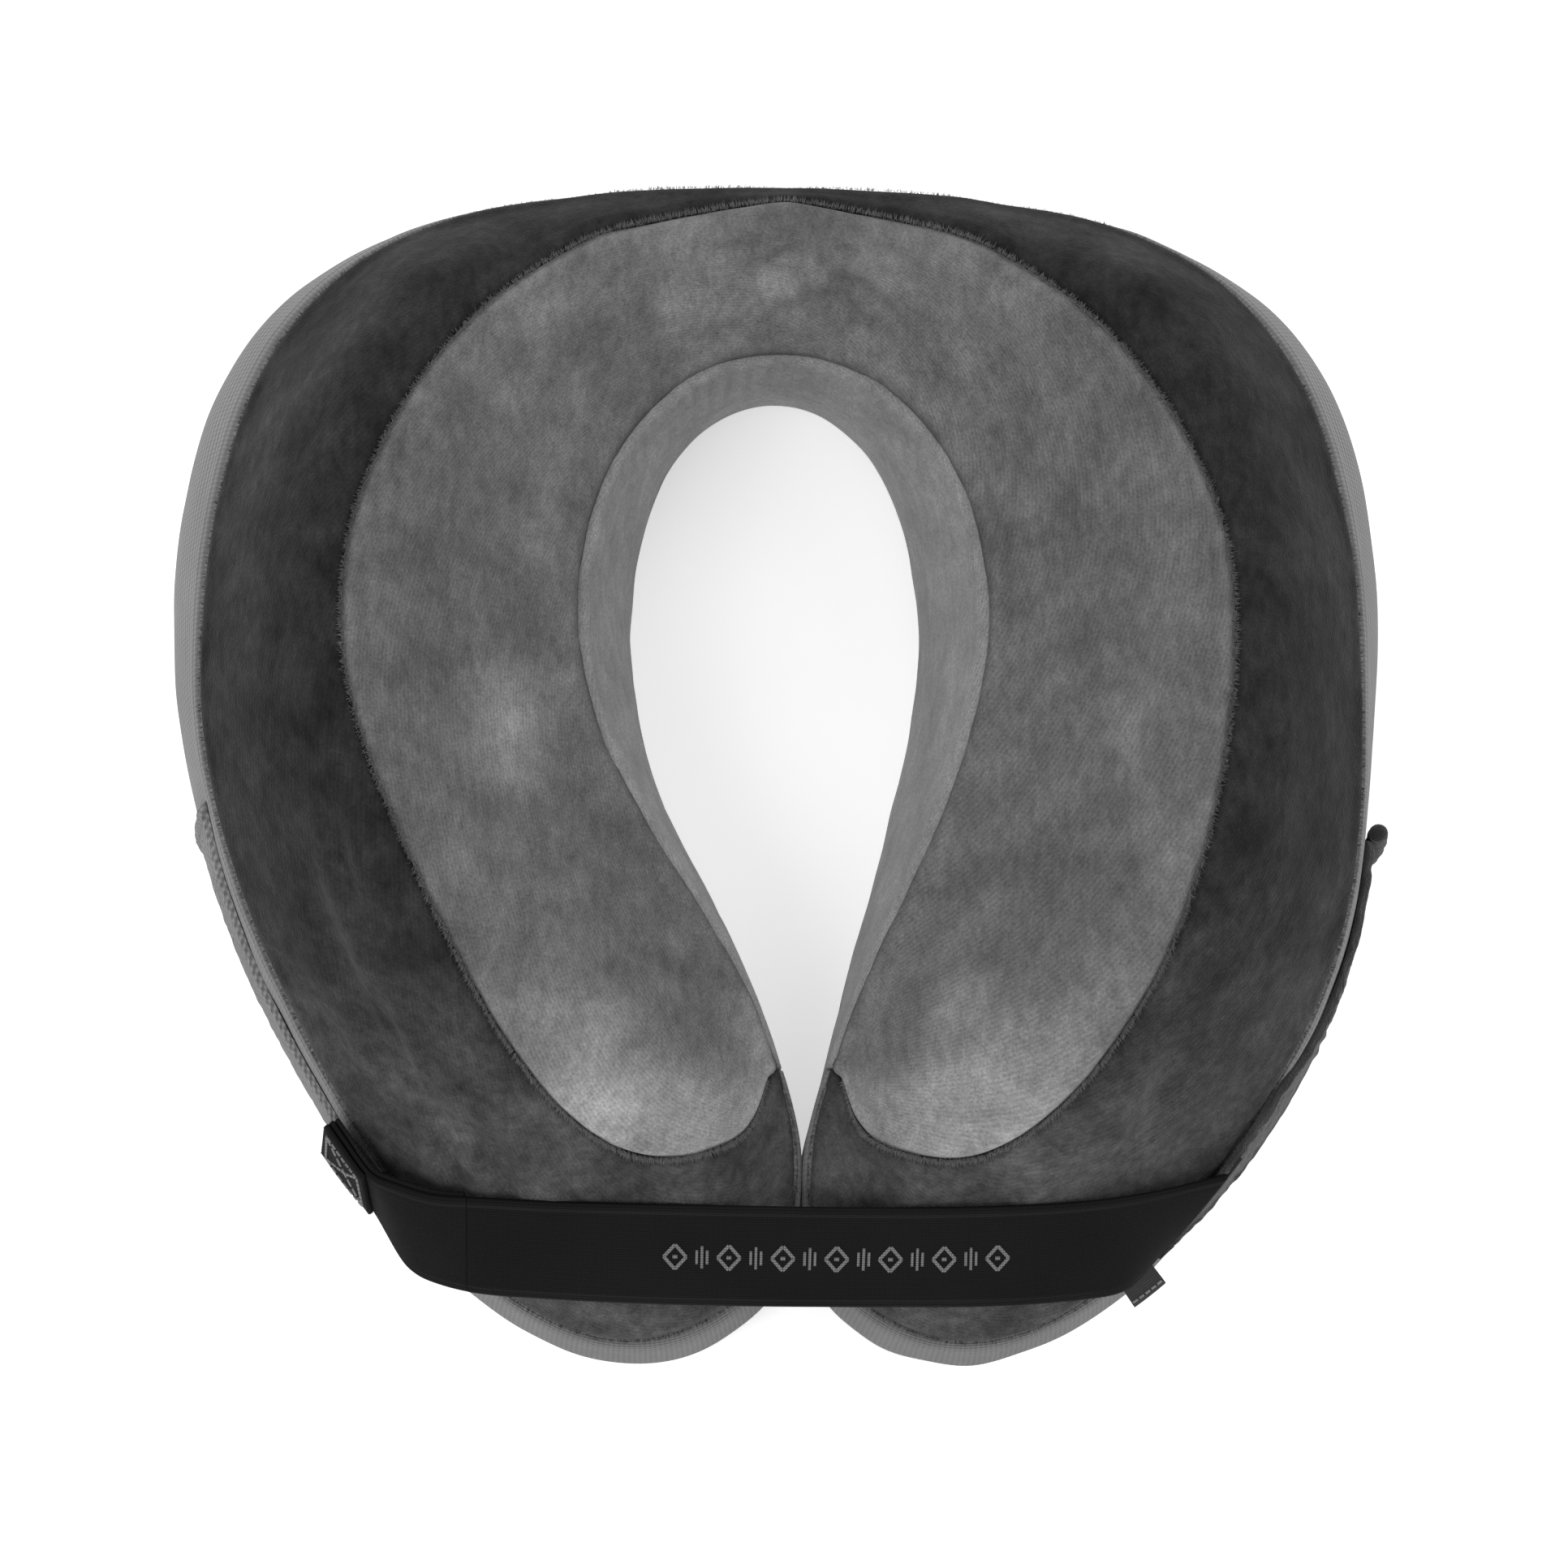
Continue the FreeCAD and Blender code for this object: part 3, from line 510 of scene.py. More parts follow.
# Folds pressed into the cover: x, y of both ends, width, depth
FOLDS = [
    (-101, -50, -86, -82, 2.4, 1.6), (-94, -56, -78, -90, 2.0, 2.0), (-82, -72, -72, -102, 2.2, 1.9),
    (-108, -34, -98, -60, 2.6, 1.3), (-66, -88, -60, -106, 2.2, 1.4), (-90, -94, -68, -103, 2.4, 1.1),
    (-104, -20, -96, -46, 2.2, 1.0), (-74, -84, -62, -96, 1.8, 1.2), (-52, -96, -44, -104, 2.0, 0.9),
    (94, -66, 78, -92, 3.0, 0.7), (60, -94, 48, -106, 2.4, 0.8), (30, -96, 20, -104, 2.2, 0.7),
    (4, 119, 17, 113, 1.7, 1.3), (17, 113, 27, 106, 1.7, 1.1), (-4, 116, 6, 121, 1.5, 0.9),
    (-22, 121, -8, 119, 1.6, 0.8), (9, 122, 19, 118, 1.5, 0.9), (-2, 110, 12, 107, 1.8, 0.8),
]


def folds(p):
    """Heights of the pressed folds: each a valley between two soft rims, fading out at its ends."""
    x, y = p[..., 0] + 0.9 * noise(p, 9, 5), p[..., 1] + 0.9 * noise(p, 9, 6)
    total = 0.0
    for x0, y0, x1, y1, width, depth in FOLDS:
        dx, dy = x1 - x0, y1 - y0
        along = ((x - x0) * dx + (y - y0) * dy) / (dx * dx + dy * dy)
        k = np.clip(along, 0, 1)
        d = np.hypot(x - x0 - k * dx, y - y0 - k * dy)
        fade = np.sin(math.pi * np.clip(0.08 + 0.84 * along, 0, 1))
        rims, valley = np.exp(-((d - 1.6 * width) / width) ** 2), np.exp(-(d / width) ** 2)
        total = total + depth * fade * (0.55 * rims - valley)
    return total


def creased(p):
    """Heights of the loose cloth over the foam."""
    pucker = np.exp(-((p[..., 0] - 8) / 26) ** 2 - ((p[..., 1] - 114) / 9) ** 2)
    lobes = smooth(-p[..., 1], 40, 105)
    return (0.45 * noise(p, 34, 1) + 0.32 * noise(p, 15, 2) + 0.14 * noise(p, 6, 3)
            + 1.9 * pucker * noise(p * [1, 1.5, 1], 7, 4)
            + 0.8 * lobes * noise(p * [1, 0.5, 1], 11, 7) + folds(p))


def panel(name, point, nu, nv, thick, tone):
    u = np.linspace(-PANEL_END, PANEL_END, nu)[:, None]
    v = np.linspace(0, 1, nv)
    v = (0.5 * v + 0.25 * (1 - np.cos(math.pi * v)))[None, :]
    u, v = np.broadcast_arrays(u, v)
    outer, inner = point(u, v, 0.0), point(u, v, thick)
    n = normals(outer)
    n = np.where(((outer - inner) * n).sum(-1, keepdims=True) < 0, -n, n)
    across = np.linalg.norm(np.diff(outer, axis=1), axis=-1)
    run = np.concatenate([np.zeros((nu, 1)), np.cumsum(across, axis=1)], axis=1)
    near, far = run, run[:, -1:] - run
    wave = 1 + 0.35 * noise(outer, 7, 8)
    lift = creased(outer) * smooth(np.minimum(near, far), 0, 7) + (seam_roll(near) + seam_roll(far)) * wave
    moved = outer + n * lift[..., None]
    inner = inner + n * np.minimum(lift, 0)[..., None] * 0.6
    return shell(name, moved, inner, tone(outer, v, near, far))


def ring_painted_light(p, v, near, far):
    """Painted light on the dark ring: lighter on the lobes where they face the light, painted sheen in
    streaks and patches and along the ridge, painted shade in the seam grooves.
    """
    # painted light: the lobes are made lighter towards the front, where they face the light
    front = smooth(-p[..., 1], 25, 112)
    # painted sheen: random streaks, stronger on the lobes
    streak = smooth(noise(p * [1.0, 0.7, 1.0], 26, 11), 0.1, 0.9)
    # painted highlight along the top ridge
    ridge = np.exp(-((v - 0.42) / 0.16) ** 2) * smooth(noise(p, 40, 12), -0.4, 0.8)
    # painted sheen: patches on the lobes
    patch = noise(p * [1.0, 1.0, 0.6], 12, 14)
    tone = 1 + 1.9 * front + 0.9 * streak * (0.25 + front) + 0.4 * ridge + 0.45 * front * patch
    # painted shade in the seam grooves at both edges
    tone = tone * (1 - 0.25 * np.exp(-(near / 2.0) ** 2)) * (1 - 0.3 * np.exp(-(far / 1.2) ** 2))
    return tone


def neck_painted_light_and_tone(p, v, near, far):
    """Painted light on the grey panel: palest at the foot of the lobes where they face the light, painted
    sheen in streaks, two lighter patches towards the back, painted shade at the hole's seam.
    """
    # painted light: the foot of the lobes is made palest, where it faces the light
    front = smooth(-p[..., 1], 52, 96)
    # painted sheen: random streaks, strongest across the hollow
    streak = smooth(noise(p * [1.0, 0.6, 1.0], 22, 13), 0.1, 0.9)
    hollow = np.exp(-((v - 0.62) / 0.22) ** 2)
    nape = np.exp(-((p[..., 0] - 34) / 26) ** 2 - ((p[..., 1] - 84) / 34) ** 2)
    band = np.exp(-((p[..., 0] + 52) / 12) ** 2 - ((p[..., 1] - 70) / 34) ** 2)
    tone = (0.90 + 1.15 * front * smooth(v, 1.05, 0.1) + 0.45 * streak * hollow + 0.20 * streak
            + 0.34 * nape + 0.3 * band)
    # painted shade in the seam groove at the hole's edge; slightly lighter along the seam with the dark ring
    return tone * (1 - 0.35 * np.exp(-(far / 1.0) ** 2)) * (1 + 0.15 * np.exp(-(near / 1.6) ** 2))


dark_ring = panel("cover_ring", ring, 560, 64, TOP_SKIN, ring_painted_light)
finish_piece(dark_ring, DARK, "pillow", ["ring_panel"])
grey_neck = panel("cover_neck", neck_top, 480, 70, TOP_SKIN, neck_painted_light_and_tone)
finish_piece(grey_neck, GREY, "pillow", ["neck_panel"])


def wall_panel(t_of, nu, nv, thick, fold):
    """Outer face, inner face and tone of a wall between the top seam and the base."""
    u = np.linspace(-PANEL_END, PANEL_END, nu)[:, None]
    t, side = t_of(np.abs(u)), np.where(u >= 0, 1, -1)
    high, floor = seam[2](t) - SEAM_GAP, BASE + SEAM_GAP
    f = np.linspace(0, 1, nv)[None, :]
    z = high + (floor - high) * f
    outer, inner = wall(t, z, 0.0, side), wall(t, z, -thick, side)
    n = normals(outer)
    n = np.where(((outer - inner) * n).sum(-1, keepdims=True) < 0, -n, n)
    near, far = high - z, z - floor
    lift = (0.3 * noise(outer, 30, 21) + 0.2 * noise(outer, 12, 22) + fold(t, z, outer))
    lift = lift * smooth(np.minimum(near, far), 0, 6)
    lift = lift + meet(t, z)
    lift = lift + (seam_roll(near, 1.0, 0.4) + seam_roll(far, 0.9, 0.4)) * (1 + 0.3 * noise(outer, 7, 23))
    # painted shade just under the top seam, over a random tone
    tone = 1 + 0.08 * noise(outer, 20, 24) - 0.25 * np.exp(-(near / 1.4) ** 2)
    return outer + n * lift[..., None], inner, np.broadcast_to(tone, z.shape)


def meet(t, z):
    """The two lobes press on each other at the mouth, so the wall there stands a little prouder."""
    return 0.8075 * smooth(t, 0.575, 0.615) * (1 - smooth(t, 0.675, 0.71)) * smooth(z, 2, 12)


def outer_fold(t, z, p):
    """Soft vertical drape where the tall side wall turns into the lobe."""
    lobe = smooth(t, 0.30, 0.42) * (1 - smooth(t, 0.62, 0.7))
    return 0.35 * lobe * noise(p * [1, 1, 0.25], 12, 25)


def neck_fold(t, z, p):
    """Gathers in the nape's wall just under the seam."""
    nape = smooth(t, 0.90, 0.99)
    gathers = np.sin(t * 900 + 2 * noise(p, 20, 26)) * smooth(z, 40, 70)
    return 0.63 * nape * gathers + 0.25 * noise(p, 9, 27)


outer, inner, tone = wall_panel(lambda a: a * MOUTH, 620, 44, WALL_SKIN, outer_fold)
wall_piece = shell("cover_outer_wall", outer, inner, tone)


def cut_slot(obj, low, high):
    """Cut a rounded opening for the zip, from corner to corner in millimetres."""
    centre, half = (np.array(low) + high) / 2, (np.array(high) - low) / 2
    turns = np.linspace(0, 2 * math.pi, 48, endpoint=False)
    c, s = np.cos(turns), np.sin(turns)
    x = centre[0] + np.sign(c) * (half[0] - 3) + 3 * c
    z = centre[2] + np.sign(s) * (half[2] - 3) + 3 * s
    near, far = (np.stack([x, np.full(48, y), z], 1) for y in (low[1], high[1]))
    faces = [tuple(range(48)), tuple(range(48, 96))[::-1]]
    faces += [((i + 1) % 48, i, i + 48, (i + 1) % 48 + 48) for i in range(48)]
    cutter = mesh_object("slot_cutter", np.concatenate([near, far]), faces)
    bm = bmesh.new()
    bm.from_mesh(cutter.data)
    bmesh.ops.recalc_face_normals(bm, faces=bm.faces)
    bm.to_mesh(cutter.data)
    bm.free()
    cut = obj.modifiers.new("slot", "BOOLEAN")
    cut.operation, cut.object, cut.solver = "DIFFERENCE", cutter, "EXACT"
    bpy.context.view_layer.objects.active = obj
    with bpy.context.temp_override(object=obj, active_object=obj, selected_objects=[obj]):
        bpy.ops.object.modifier_apply(modifier="slot")
    bpy.data.objects.remove(cutter)


cut_slot(wall_piece, (-59.0, 120.0, 14.4), (59.0, 150.0, 31.6))
finish_piece(wall_piece, WALL, "pillow", ["outer_wall_panel"])
outer, inner, tone = wall_panel(lambda a: 1 - a * (1 - MOUTH), 420, 44, WALL_SKIN, neck_fold)
neck_wall = shell("cover_neck_wall", outer, inner, tone)
finish_piece(neck_wall, PALE, "pillow", ["neck_wall_panel"])


def fuzz(name, line, count, size, seed, lean_out):
    """Short tapered pile fibres that stand out of a seam, given as (points, outward, sideways)."""
    random = np.random.default_rng(seed)
    points, out, aside = line(random.uniform(-0.99, 0.99, count))
    aim = out + aside * random.normal(lean_out, 0.55, (count, 1)) + random.normal(0, 0.35, (count, 3))
    aim /= np.linalg.norm(aim, axis=1, keepdims=True)
    root = points + aside * random.normal(0, 0.28, (count, 1)) - out * 0.5
    tip = root + aim * random.uniform(0.5, 1.0, (count, 1)) * size
    a = np.cross(aim, random.normal(0, 1, (count, 3)))
    a *= 0.07 / np.linalg.norm(a, axis=1, keepdims=True)
    b = np.cross(aim, a)
    corners = np.stack([root + a, root - 0.5 * a + 0.87 * b, root - 0.5 * a - 0.87 * b, tip], 1)
    first = np.arange(count)[:, None] * 4
    faces = np.concatenate([first + [0, 1, 3], first + [1, 2, 3], first + [2, 0, 3], first + [0, 2, 1]])
    return mesh_object(name, corners.reshape(-1, 3), faces.tolist())


def seam_line(point, v):
    """Line for fuzz() along one edge of a panel."""
    def line(u):
        ahead, here = point(u + 0.001, np.full_like(u, v), 0.0), point(u, np.full_like(u, v), 0.0)
        beside = point(u, np.full_like(u, v + 0.01), 0.0)
        aside = beside - here
        aside /= np.linalg.norm(aside, axis=1, keepdims=True)
        out = np.cross(ahead - here, aside)
        out /= np.linalg.norm(out, axis=1, keepdims=True)
        out *= np.where(out[:, 2:] < 0, -1, 1)
        return here, out, aside
    return line


FUZZ_GREY, FUZZ_DARK = yarn("grey_pile", 118), yarn("dark_pile", 48)
neck_fuzz = fuzz("fuzz_neck_seam", seam_line(neck_top, 0.0), 11000, 2.1, 3, -0.6)
finish_piece(neck_fuzz, FUZZ_GREY, "pillow")
edge_fuzz = fuzz("fuzz_ring_edge", seam_line(ring, 0.0), 6000, 1.3, 4, -0.3)
finish_piece(edge_fuzz, FUZZ_DARK, "pillow")

# ------------------------------------------------------------ foam block and base


def foam_mesh():
    """One block of foam, set in from the cover, closed underneath and at both ends of the mouth."""
    u = np.linspace(-0.965, 0.965, 200)[:, None]
    a, side, deep, floor = np.abs(u), np.where(u >= 0, 1, -1), 3.0, BASE + 1.05
    t_out, t_in = a * MOUTH, 1 - a * (1 - MOUTH)
    high_out, high_in = seam[2](t_out) - 3.0, seam[2](t_in) - 3.0
    f = np.linspace(0, 1, 9)[None, :]
    up = wall(t_out, floor + (high_out - floor) * f, -deep, side)
    down = wall(t_in, high_in + (floor - high_in) * f, -deep, side)
    ox, oy, onx, ony = seam_frame(t_out)
    ix, iy, inx, iny = seam_frame(t_in)
    length = np.hypot(ox - ix, oy - iy)
    v = (0.5 - 0.5 * np.cos(np.linspace(0, math.pi, 31)))[None, 1:-1]
    near = np.minimum(v, 1 - v) * length
    edge = (np.where(v < 0.5, onx, inx), np.where(v < 0.5, ony, iny))
    over = top_point(side, (ox, oy), (ix, iy), v, deep, edge, near)
    loop = np.concatenate([up, over, down], axis=1)
    first, last = loop[:, 0], loop[:, -1]
    k = np.linspace(0, 1, 12)[None, 1:-1, None]
    under = last[:, None] * (1 - k) + first[:, None] * k
    loop = np.concatenate([loop, under], axis=1)
    nu, nv = loop.shape[:2]
    index = np.arange(nu * nv).reshape(nu, nv)
    faces = [(index[i, j], index[i, (j + 1) % nv], index[i + 1, (j + 1) % nv], index[i + 1, j])
             for i in range(nu - 1) for j in range(nv)]
    faces += [tuple(index[0])[::-1], tuple(index[-1])]
    return mesh_object("foam_block", loop.reshape(-1, 3), faces)


foam_piece = foam_mesh()
cut_slot(foam_piece, (-59.0, 133.4, 10.5), (59.0, 150.0, 35.5))
finish_piece(foam_piece, FOAM, "pillow", ["foam_core"])


def base_mesh():
    """Flat knitted base, its edge rolled up to meet the walls."""
    u = np.linspace(-1, 1, 401)[:, None]
    a, side = np.abs(u), np.where(u >= 0, 1, -1)
    t_out, t_in = a * MOUTH, 1 - a * (1 - MOUTH)
    k = 0.5 - 0.5 * np.cos(np.linspace(0, math.pi, 30))[None, :]
    a_out, a_in = (wall(t, np.full(t.shape, 0.9), -0.2, side) for t in (t_out, t_in))
    p = a_out * (1 - k[..., None]) + a_in * k[..., None]
    run = np.linalg.norm(a_out - a_in, axis=-1)
    edge = np.minimum(k, 1 - k) * run
    low = p.copy()
    low[..., 2] = 0.06 + 0.85 * (1 - smooth(edge, 0, 3.0)) + 0.06 * (1 + noise(p, 6, 31)) * smooth(edge, 2, 8)
    high = p.copy()
    high[..., 2] = BASE - 0.1
    return shell("cover_base", low, high)


finish_piece(base_mesh(), UNDER, "pillow", ["base_panel"])

# ------------------------------------------------------------ bands on the walls


def on_wall(side, start, end, high, low, near, far, nu, nv):
    s, f = np.linspace(0, 1, nu)[:, None], np.linspace(0, 1, nv)[None, :]
    top, foot = high[0] + (high[1] - high[0]) * s, low[0] + (low[1] - low[0]) * s
    t0, t1 = start[0] + (start[1] - start[0]) * f, end[0] + (end[1] - end[0]) * f
    t, z = t0 + (t1 - t0) * s, top + (foot - top) * f
    return wall(t, z, far, side), wall(t, z, near, side)


def flat_piece(name, outer, inner, height, tone=None):
    n = normals(outer)
    n = np.where(((outer - inner) * n).sum(-1, keepdims=True) < 0, -n, n)
    return shell(name, outer + n * height[..., None], inner, tone)


def edge_run(grid):
    """Distances of every point from the four edges of its grid."""
    a = np.linalg.norm(np.diff(grid, axis=1), axis=-1)
    b = np.linalg.norm(np.diff(grid, axis=0), axis=-1)
    ra = np.concatenate([np.zeros((grid.shape[0], 1)), np.cumsum(a, axis=1)], axis=1)
    rb = np.concatenate([np.zeros((1, grid.shape[1])), np.cumsum(b, axis=0)], axis=0)
    return ra, ra[:, -1:] - ra, rb, rb[-1:] - rb


outer, inner = on_wall(-1, (0.352, 0.352), (0.492, 0.492), (72.0, 36.0), (16.0, 12.0), 0.1, 1.2, 150, 110)
top, foot, first, last = edge_run(outer)
near = np.minimum(np.minimum(top, foot), np.minimum(first, last))
height = -0.9 * np.exp(-(near / 0.7) ** 2) + 0.9 * np.exp(-((first - 1.6) / 1.1) ** 2)
height += 0.25 * noise(outer, 2.2, 41) + 0.3 * np.exp(-((top - 1.6) / 1.0) ** 2)
tone = 1 + 0.12 * noise(outer, 9, 42) - 0.35 * np.exp(-((first - 3.6) / 0.5) ** 2)
loop = flat_piece("loop_landing", outer, inner, height, tone)
finish_piece(loop, LOOPS, "pillow", ["loop_panel"])

outer, inner = on_wall(1, (0.357, 0.357), (0.4825, 0.5135), (60.0, 54.0), (34.6, 33.0), 0.15, 1.75, 200, 60)
top, foot, first, last = edge_run(outer)
near = np.minimum(np.minimum(top, foot), last)
height = -0.8 * np.exp(-(near / 0.8) ** 2) + 0.35 * noise(outer, 2.0, 43) + 0.3 * noise(outer, 9, 44)
height += 0.5 * np.exp(-((top - 1.6) / 1.1) ** 2) + 0.5 * np.exp(-((foot - 1.6) / 1.1) ** 2)
band = flat_piece("anchor_band_cloth", outer, inner, height, 1 + 0.25 * noise(outer, 5, 45))
finish_piece(band, BAND, "pillow", ["anchor_band"])

z = np.linspace(34.2, 60.4, 40)
path = wall(np.full(40, 0.3535), z, 2.9, 1) + np.stack([0.15 * np.sin(z), 0 * z, 0 * z], 1)
points, faces = tube(path, 2.35 + 0.12 * np.sin(z * 1.7) - 1.1 * np.exp(-((z - 34.2) / 0.7) ** 2)
                     - 1.1 * np.exp(-((z - 60.4) / 0.7) ** 2), 20)
finish_piece(mesh_object("anchor_band_hem", points, faces, points[:, 1:] * 0.001, np.ones(len(points))), BAND,
             "pillow", ["anchor_band_roll"])

# ------------------------------------------------------------ strap

STRAP_THICK, TAB_OUT, STRAP_WIDE = 1.4, 4.85, 26.3
STATIONS = np.array([
    (105.42, -93.6, 54.0, 87.31, -113.3, 32.8), (92.0, -97.4, 57.1, 82.4, -118.1, 37.3),
    (79.0, -100.2, 60.0, 75.0, -120.5, 41.1), (54.5, -102.6, 62.3, 55.0, -122.9, 45.2),
    (28.0, -103.4, 63.1, 28.0, -123.7, 46.4), (0.0, -103.3, 62.9, 0.0, -123.6, 46.3),
    (-37.6, -102.6, 62.2, -37.6, -122.9, 45.6), (-58.0, -101.9, 61.0, -58.0, -121.6, 43.7),
    (-72.4, -101.0, 59.6, -72.4, -119.8, 41.4), (-82.0, -100.0, 58.2, -81.0, -117.0, 37.4),
    (-89.7, -97.6, 57.2, -87.4, -112.4, 34.2)])
tab_rows = [np.concatenate([wall(np.array(a), np.array(57.0), TAB_OUT, -1),
                            wall(np.array(b), np.array(31.8), TAB_OUT, -1)])
            for a, b in ((0.484, 0.490), (0.475, 0.4785), (0.463, 0.4635))]
STATIONS = np.concatenate([STATIONS, tab_rows])
middle = (STATIONS[:, :3] + STATIONS[:, 3:]) / 2
STRAP_AT = lengths(middle)
strap_line = [spline(STRAP_AT, STATIONS[:, k], even=False) for k in range(6)]
SPLIT, TAB_FROM, STRAP_END_AT = STRAP_AT[8], STRAP_AT[11], STRAP_AT[-1]


def strap_face(s, f):
    """Outer face of the strap, s millimetres from the splice and f across from the top edge."""
    top = np.stack([strap_line[k](s) for k in range(3)], -1)
    low = np.stack([strap_line[k](s) for k in range(3, 6)], -1)
    return top + (low - top) * f[..., None]


def strap_normal(s, f):
    d = 0.5
    low, high = np.maximum(s - d, 0), np.minimum(s + d, STRAP_END_AT)
    along = strap_face(high, f) - strap_face(low, f)
    across = strap_face(s, f * 0 + 1) - strap_face(s, f * 0)
    n = np.cross(along, across)
    return n / np.linalg.norm(n, axis=-1, keepdims=True)


def strap_piece(name, s0, s1, front, back, nu, nv=44, f0=0.0, f1=1.0, weave=True, seed=50):
    s, f = np.meshgrid(np.linspace(s0, s1, nu), np.linspace(f0, f1, nv), indexing="ij")
    face, n = strap_face(s, f), strap_normal(s, f)
    mm = np.linalg.norm(strap_face(s, f * 0 + 1) - strap_face(s, f * 0), axis=-1)
    edge = np.minimum(f - f0, f1 - f) * mm
    end = np.minimum(s - s0, s1 - s)
    height = -0.4 * np.exp(-(edge / 0.45) ** 2)
    if weave:
        selvedge, line = np.exp(-((edge - 1.1) / 0.5) ** 2), np.exp(-((edge - 2.2) / 0.4) ** 2)
        height = height + 0.10 * selvedge - 0.10 * line
        height = height + 0.15 * noise(face, 26, seed)
    wave = 0.25 * noise(np.stack([s, s * 0, s * 0], -1), 17, seed + 1) * (f - 0.5)
    height = height + wave * smooth(end, 0, 8)
    outer = face - n * (front - height)[..., None]
    inner = face - n * (back + 0.4 * height)[..., None]
    tone = 1 + (0.9 if weave else 0) * np.exp(-((edge - 1.7) / 0.35) ** 2) + 0.1 * noise(face, 18, seed + 2)
    uv = np.stack([s, f * mm], -1) * 0.001
    return shell(name, outer, inner, tone, uv)


def row(p):
    """Point in millimetres to the row frame, in metres."""
    return tuple((np.asarray(p, float) - CENTRE) * 0.001)


strap = strap_piece("strap_band", 0.4, SPLIT - 0.05, 0.0, STRAP_THICK, 420)
finish_piece(strap, ELASTIC, None, ["strap_elastic"])
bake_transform(strap)

tail = strap_piece("strap_tail", SPLIT + 0.05, STRAP_END_AT, 0.0, STRAP_THICK, 110, seed=60)
finish_piece(tail, ELASTIC, None, ["strap_end_elastic"])
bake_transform(tail)

hooks = strap_piece("hook_strip", SPLIT + 0.8, STRAP_END_AT - 0.3, STRAP_THICK + 0.1, STRAP_THICK + 1.3,
                    90, 36, -0.012, 1.0, False, 70)
finish_piece(hooks, HOOKS, None, ["hook_patch"])
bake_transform(hooks)

tab = strap_piece("grip_tab_fold", TAB_FROM + 0.2, STRAP_END_AT, -1.5, -0.1, 60, 44, seed=80)
finish_piece(tab, ELASTIC, "strap_end", ["grip_tab"])


def motif():
    """Woven row along the middle of the strap: lozenges between groups of three bars."""
    parts, uvs = [], []
    start, stop = STRAP_AT[3] + 4.0, STRAP_AT[6] - 9.0

    def patch(s, f):
        s, f = np.array(s, float), np.array(f, float)
        p, n = strap_face(s, f), strap_normal(s, f)
        outer, inner = p + n * 0.22, p - n * 0.5
        k = len(s)
        faces = [tuple(range(k))[::-1], tuple(range(k, 2 * k))]
        faces += [(i, (i + 1) % k, (i + 1) % k + k, i + k) for i in range(k)]
        parts.append((np.concatenate([outer, inner]), faces))
        uvs.append(np.concatenate([np.stack([s, f * STRAP_WIDE], -1)] * 2) * 0.001)

    def bar(s0, s1, f0, f1, w):
        """Straight run of yarn between two points of the strap's face, in steps that follow its curve."""
        size = math.hypot(s1 - s0, (f1 - f0) * STRAP_WIDE)
        px, pf = -(f1 - f0) * STRAP_WIDE / size * w / 2, (s1 - s0) / size * w / 2 / STRAP_WIDE
        for i in range(4):
            a, b = i / 4, (i + 1) / 4
            q = [(s0 + (s1 - s0) * a, f0 + (f1 - f0) * a), (s0 + (s1 - s0) * b, f0 + (f1 - f0) * b)]
            patch([q[0][0] + px, q[1][0] + px, q[1][0] - px, q[0][0] - px],
                  [q[0][1] + pf, q[1][1] + pf, q[1][1] - pf, q[0][1] - pf])

    step, half = 6.24, 0.125
    place, lozenge = start, True
    while place < stop:
        if lozenge:
            for (a, b), (c, d) in (((-2.6, 0), (0, -half)), ((0, -half), (2.6, 0)), ((2.6, 0), (0, half)),
                                   ((0, half), (-2.6, 0))):
                bar(place + a, place + c, 0.5 + b, 0.5 + d, 0.8)
            bar(place - 0.55, place + 0.55, 0.5, 0.5, 0.9)
        else:
            for shift in (-1.2, 0.0, 1.2):
                bar(place + shift, place + shift, 0.5 - half * (0.55 if shift else 0.9),
                    0.5 + half * (0.55 if shift else 0.9), 0.6)
        place += step
        lozenge = not lozenge
    points, faces = join(parts)
    return mesh_object("strap_motif", points, faces, np.concatenate(uvs), np.ones(len(points)))


woven = motif()
finish_piece(woven, MOTIF)
woven.data.shade_flat()
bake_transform(woven)

# ------------------------------------------------------------ side label, zip


def label_mesh():
    """Satin label, folded at its outer edge and sewn in at the wall."""
    t = np.linspace(0.517, 0.530, 26)[:, None]
    k = np.linspace(0, 1, 24)[None, :]
    reach = 0.5 + 5.1 * (1 - np.abs(2 * k - 1))
    bend = np.sqrt(np.clip(1 - np.clip((reach - 5.0) / 0.6, 0, 1) ** 2, 0, 1))
    lift = 0.45 * np.where(k < 0.5, 1, -1) * bend
    z = 28.9 - 3.1 * (reach - 0.5) / 5.1 - 0.25 + lift
    outer = wall(t + 0 * k, z + 0 * t, reach + 0 * t, 1)
    n = normals(outer)
    return shell("side_label_fold", outer, outer - n * 0.35)


label = label_mesh()
finish_piece(label, LABEL, "pillow", ["side_label"])

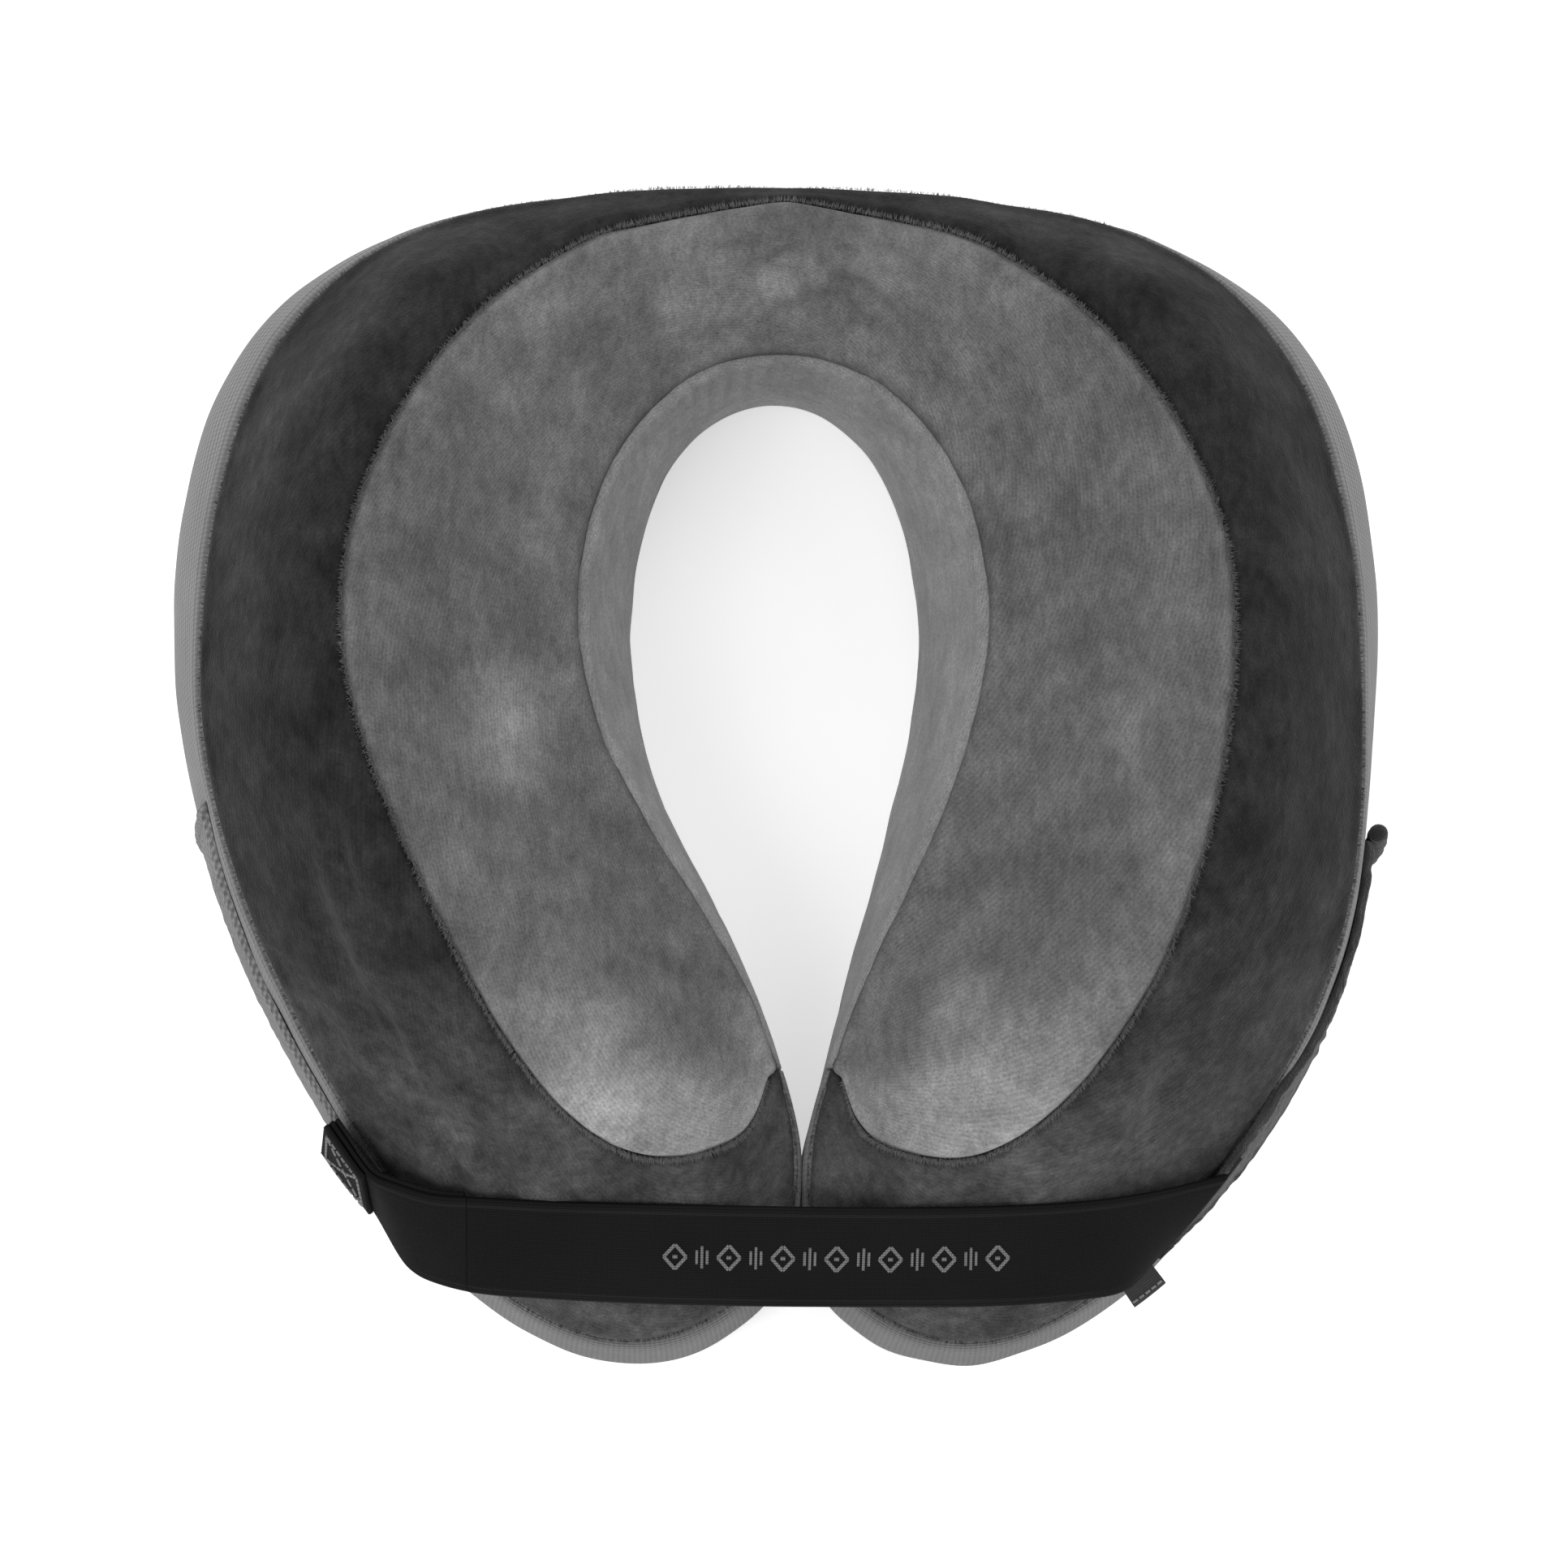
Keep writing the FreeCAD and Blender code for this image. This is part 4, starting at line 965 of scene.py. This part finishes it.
ZIP_Z, TAPE_Y, TAPE_HALF, COIL_FROM, COIL_LONG, COIL_TURNS = 23.0, 136.0, 56, -53, 106, 80
for name, up in (("upper", 1), ("lower", -1)):
    x, k = np.meshgrid(np.linspace(-TAPE_HALF, TAPE_HALF, 180), np.linspace(0, 1, 14), indexing="ij")
    z = ZIP_Z + up * (0.8 + 7.6 * k)
    y = TAPE_Y + 0.12 * np.sin(x * 0.9) * smooth(k, 0.4, 1) - 0.25 * np.exp(-(k / 0.08) ** 2)
    outer = np.stack([x, y, z], -1)
    inner = np.stack([x, y - 0.6, z], -1)
    ribbon = shell("zip_ribbon_" + name, outer, inner)
    finish_piece(ribbon, TAPE, "pillow", ["zip_tape_" + name])
    turns = np.arange(0, COIL_TURNS, 1 / 12)
    angle = turns * 2 * math.pi + (math.pi if up < 0 else 0)
    helix = np.stack([COIL_FROM + COIL_LONG * turns / COIL_TURNS, TAPE_Y + 0.7 + 0.48 * np.sin(angle),
                      ZIP_Z + up * 1.65 + 0.62 * np.cos(angle)], 1)
    points, faces = tube(helix, 0.24, 6)
    teeth = mesh_object("zip_teeth_" + name, points, faces)
    finish_piece(teeth, COIL, "pillow", ["zip_coil_" + name])

for node, material in (("anchor_overlock", DARK_THREAD), ("side_label_stitch", LIGHT_THREAD),
                       ("tab_box_stitch", LIGHT_THREAD), ("zip_stop_open", METAL), ("zip_stop_closed", METAL),
                       ("zip_slider", METAL), ("zip_pull", METAL)):
    nodes[node].data.materials.clear()
    nodes[node].data.materials.append(material)

# ------------------------------------------------------------ floor, light and camera

bpy.ops.mesh.primitive_plane_add(size=6, location=(0, 0, 0))
floor = bpy.context.object
floor.name = "floor"
m = Cloth("floor_paper", (0.93, 0.93, 0.93), roughness=0.9)
m.shader.inputs["Emission Color"].default_value = (1, 1, 1, 1)
m.shader.inputs["Emission Strength"].default_value = 0.42
floor.data.materials.append(m.tone(m.grain(60, 2), 0.995, 1.0).done())

world = bpy.data.worlds.new("studio")
bpy.context.scene.world = world
world.use_nodes = True
world.node_tree.nodes["Background"].inputs[0].default_value = (1, 1, 1, 1)
world.node_tree.nodes["Background"].inputs[1].default_value = 0.72


def lamp(name, place, size, power):
    data = bpy.data.lights.new(name, "AREA")
    data.shape, data.size, data.energy = "SQUARE", size, power
    obj = bpy.data.objects.new(name, data)
    bpy.context.scene.collection.objects.link(obj)
    obj.location = place
    obj.rotation_euler = (Vector((0, 0, 0.05)) - Vector(place)).to_track_quat("-Z", "Y").to_euler()


lamp("key", (-0.7, -0.9, 1.6), 0.9, 13)
lamp("fill", (1.0, 0.3, 1.5), 1.2, 7)
lamp("rim", (-0.3, 1.3, 1.1), 0.8, 5)

target = Vector(row((0, 0, 60)))
CAMERA_RISE, CAMERA_TURN, CAMERA_FAR = math.radians(75), math.radians(2), 1.1
toward = Vector((-math.sin(CAMERA_TURN), -math.cos(CAMERA_RISE), math.sin(CAMERA_RISE))).normalized()
camera = bpy.data.objects.new("camera", bpy.data.cameras.new("camera"))
bpy.context.scene.collection.objects.link(camera)
camera.location = target + toward * CAMERA_FAR
right = Vector((0, 1, 0)).cross(toward).normalized()
upward = toward.cross(right)
camera.rotation_euler = Matrix((right, upward, toward)).transposed().to_euler()
camera.data.lens, camera.data.sensor_width = 106.65, 36.0
camera.data.shift_x, camera.data.shift_y = 0.0026, -0.0031
camera.data.clip_end = 20
bpy.context.scene.camera = camera
bpy.context.scene.view_settings.view_transform = "Standard"
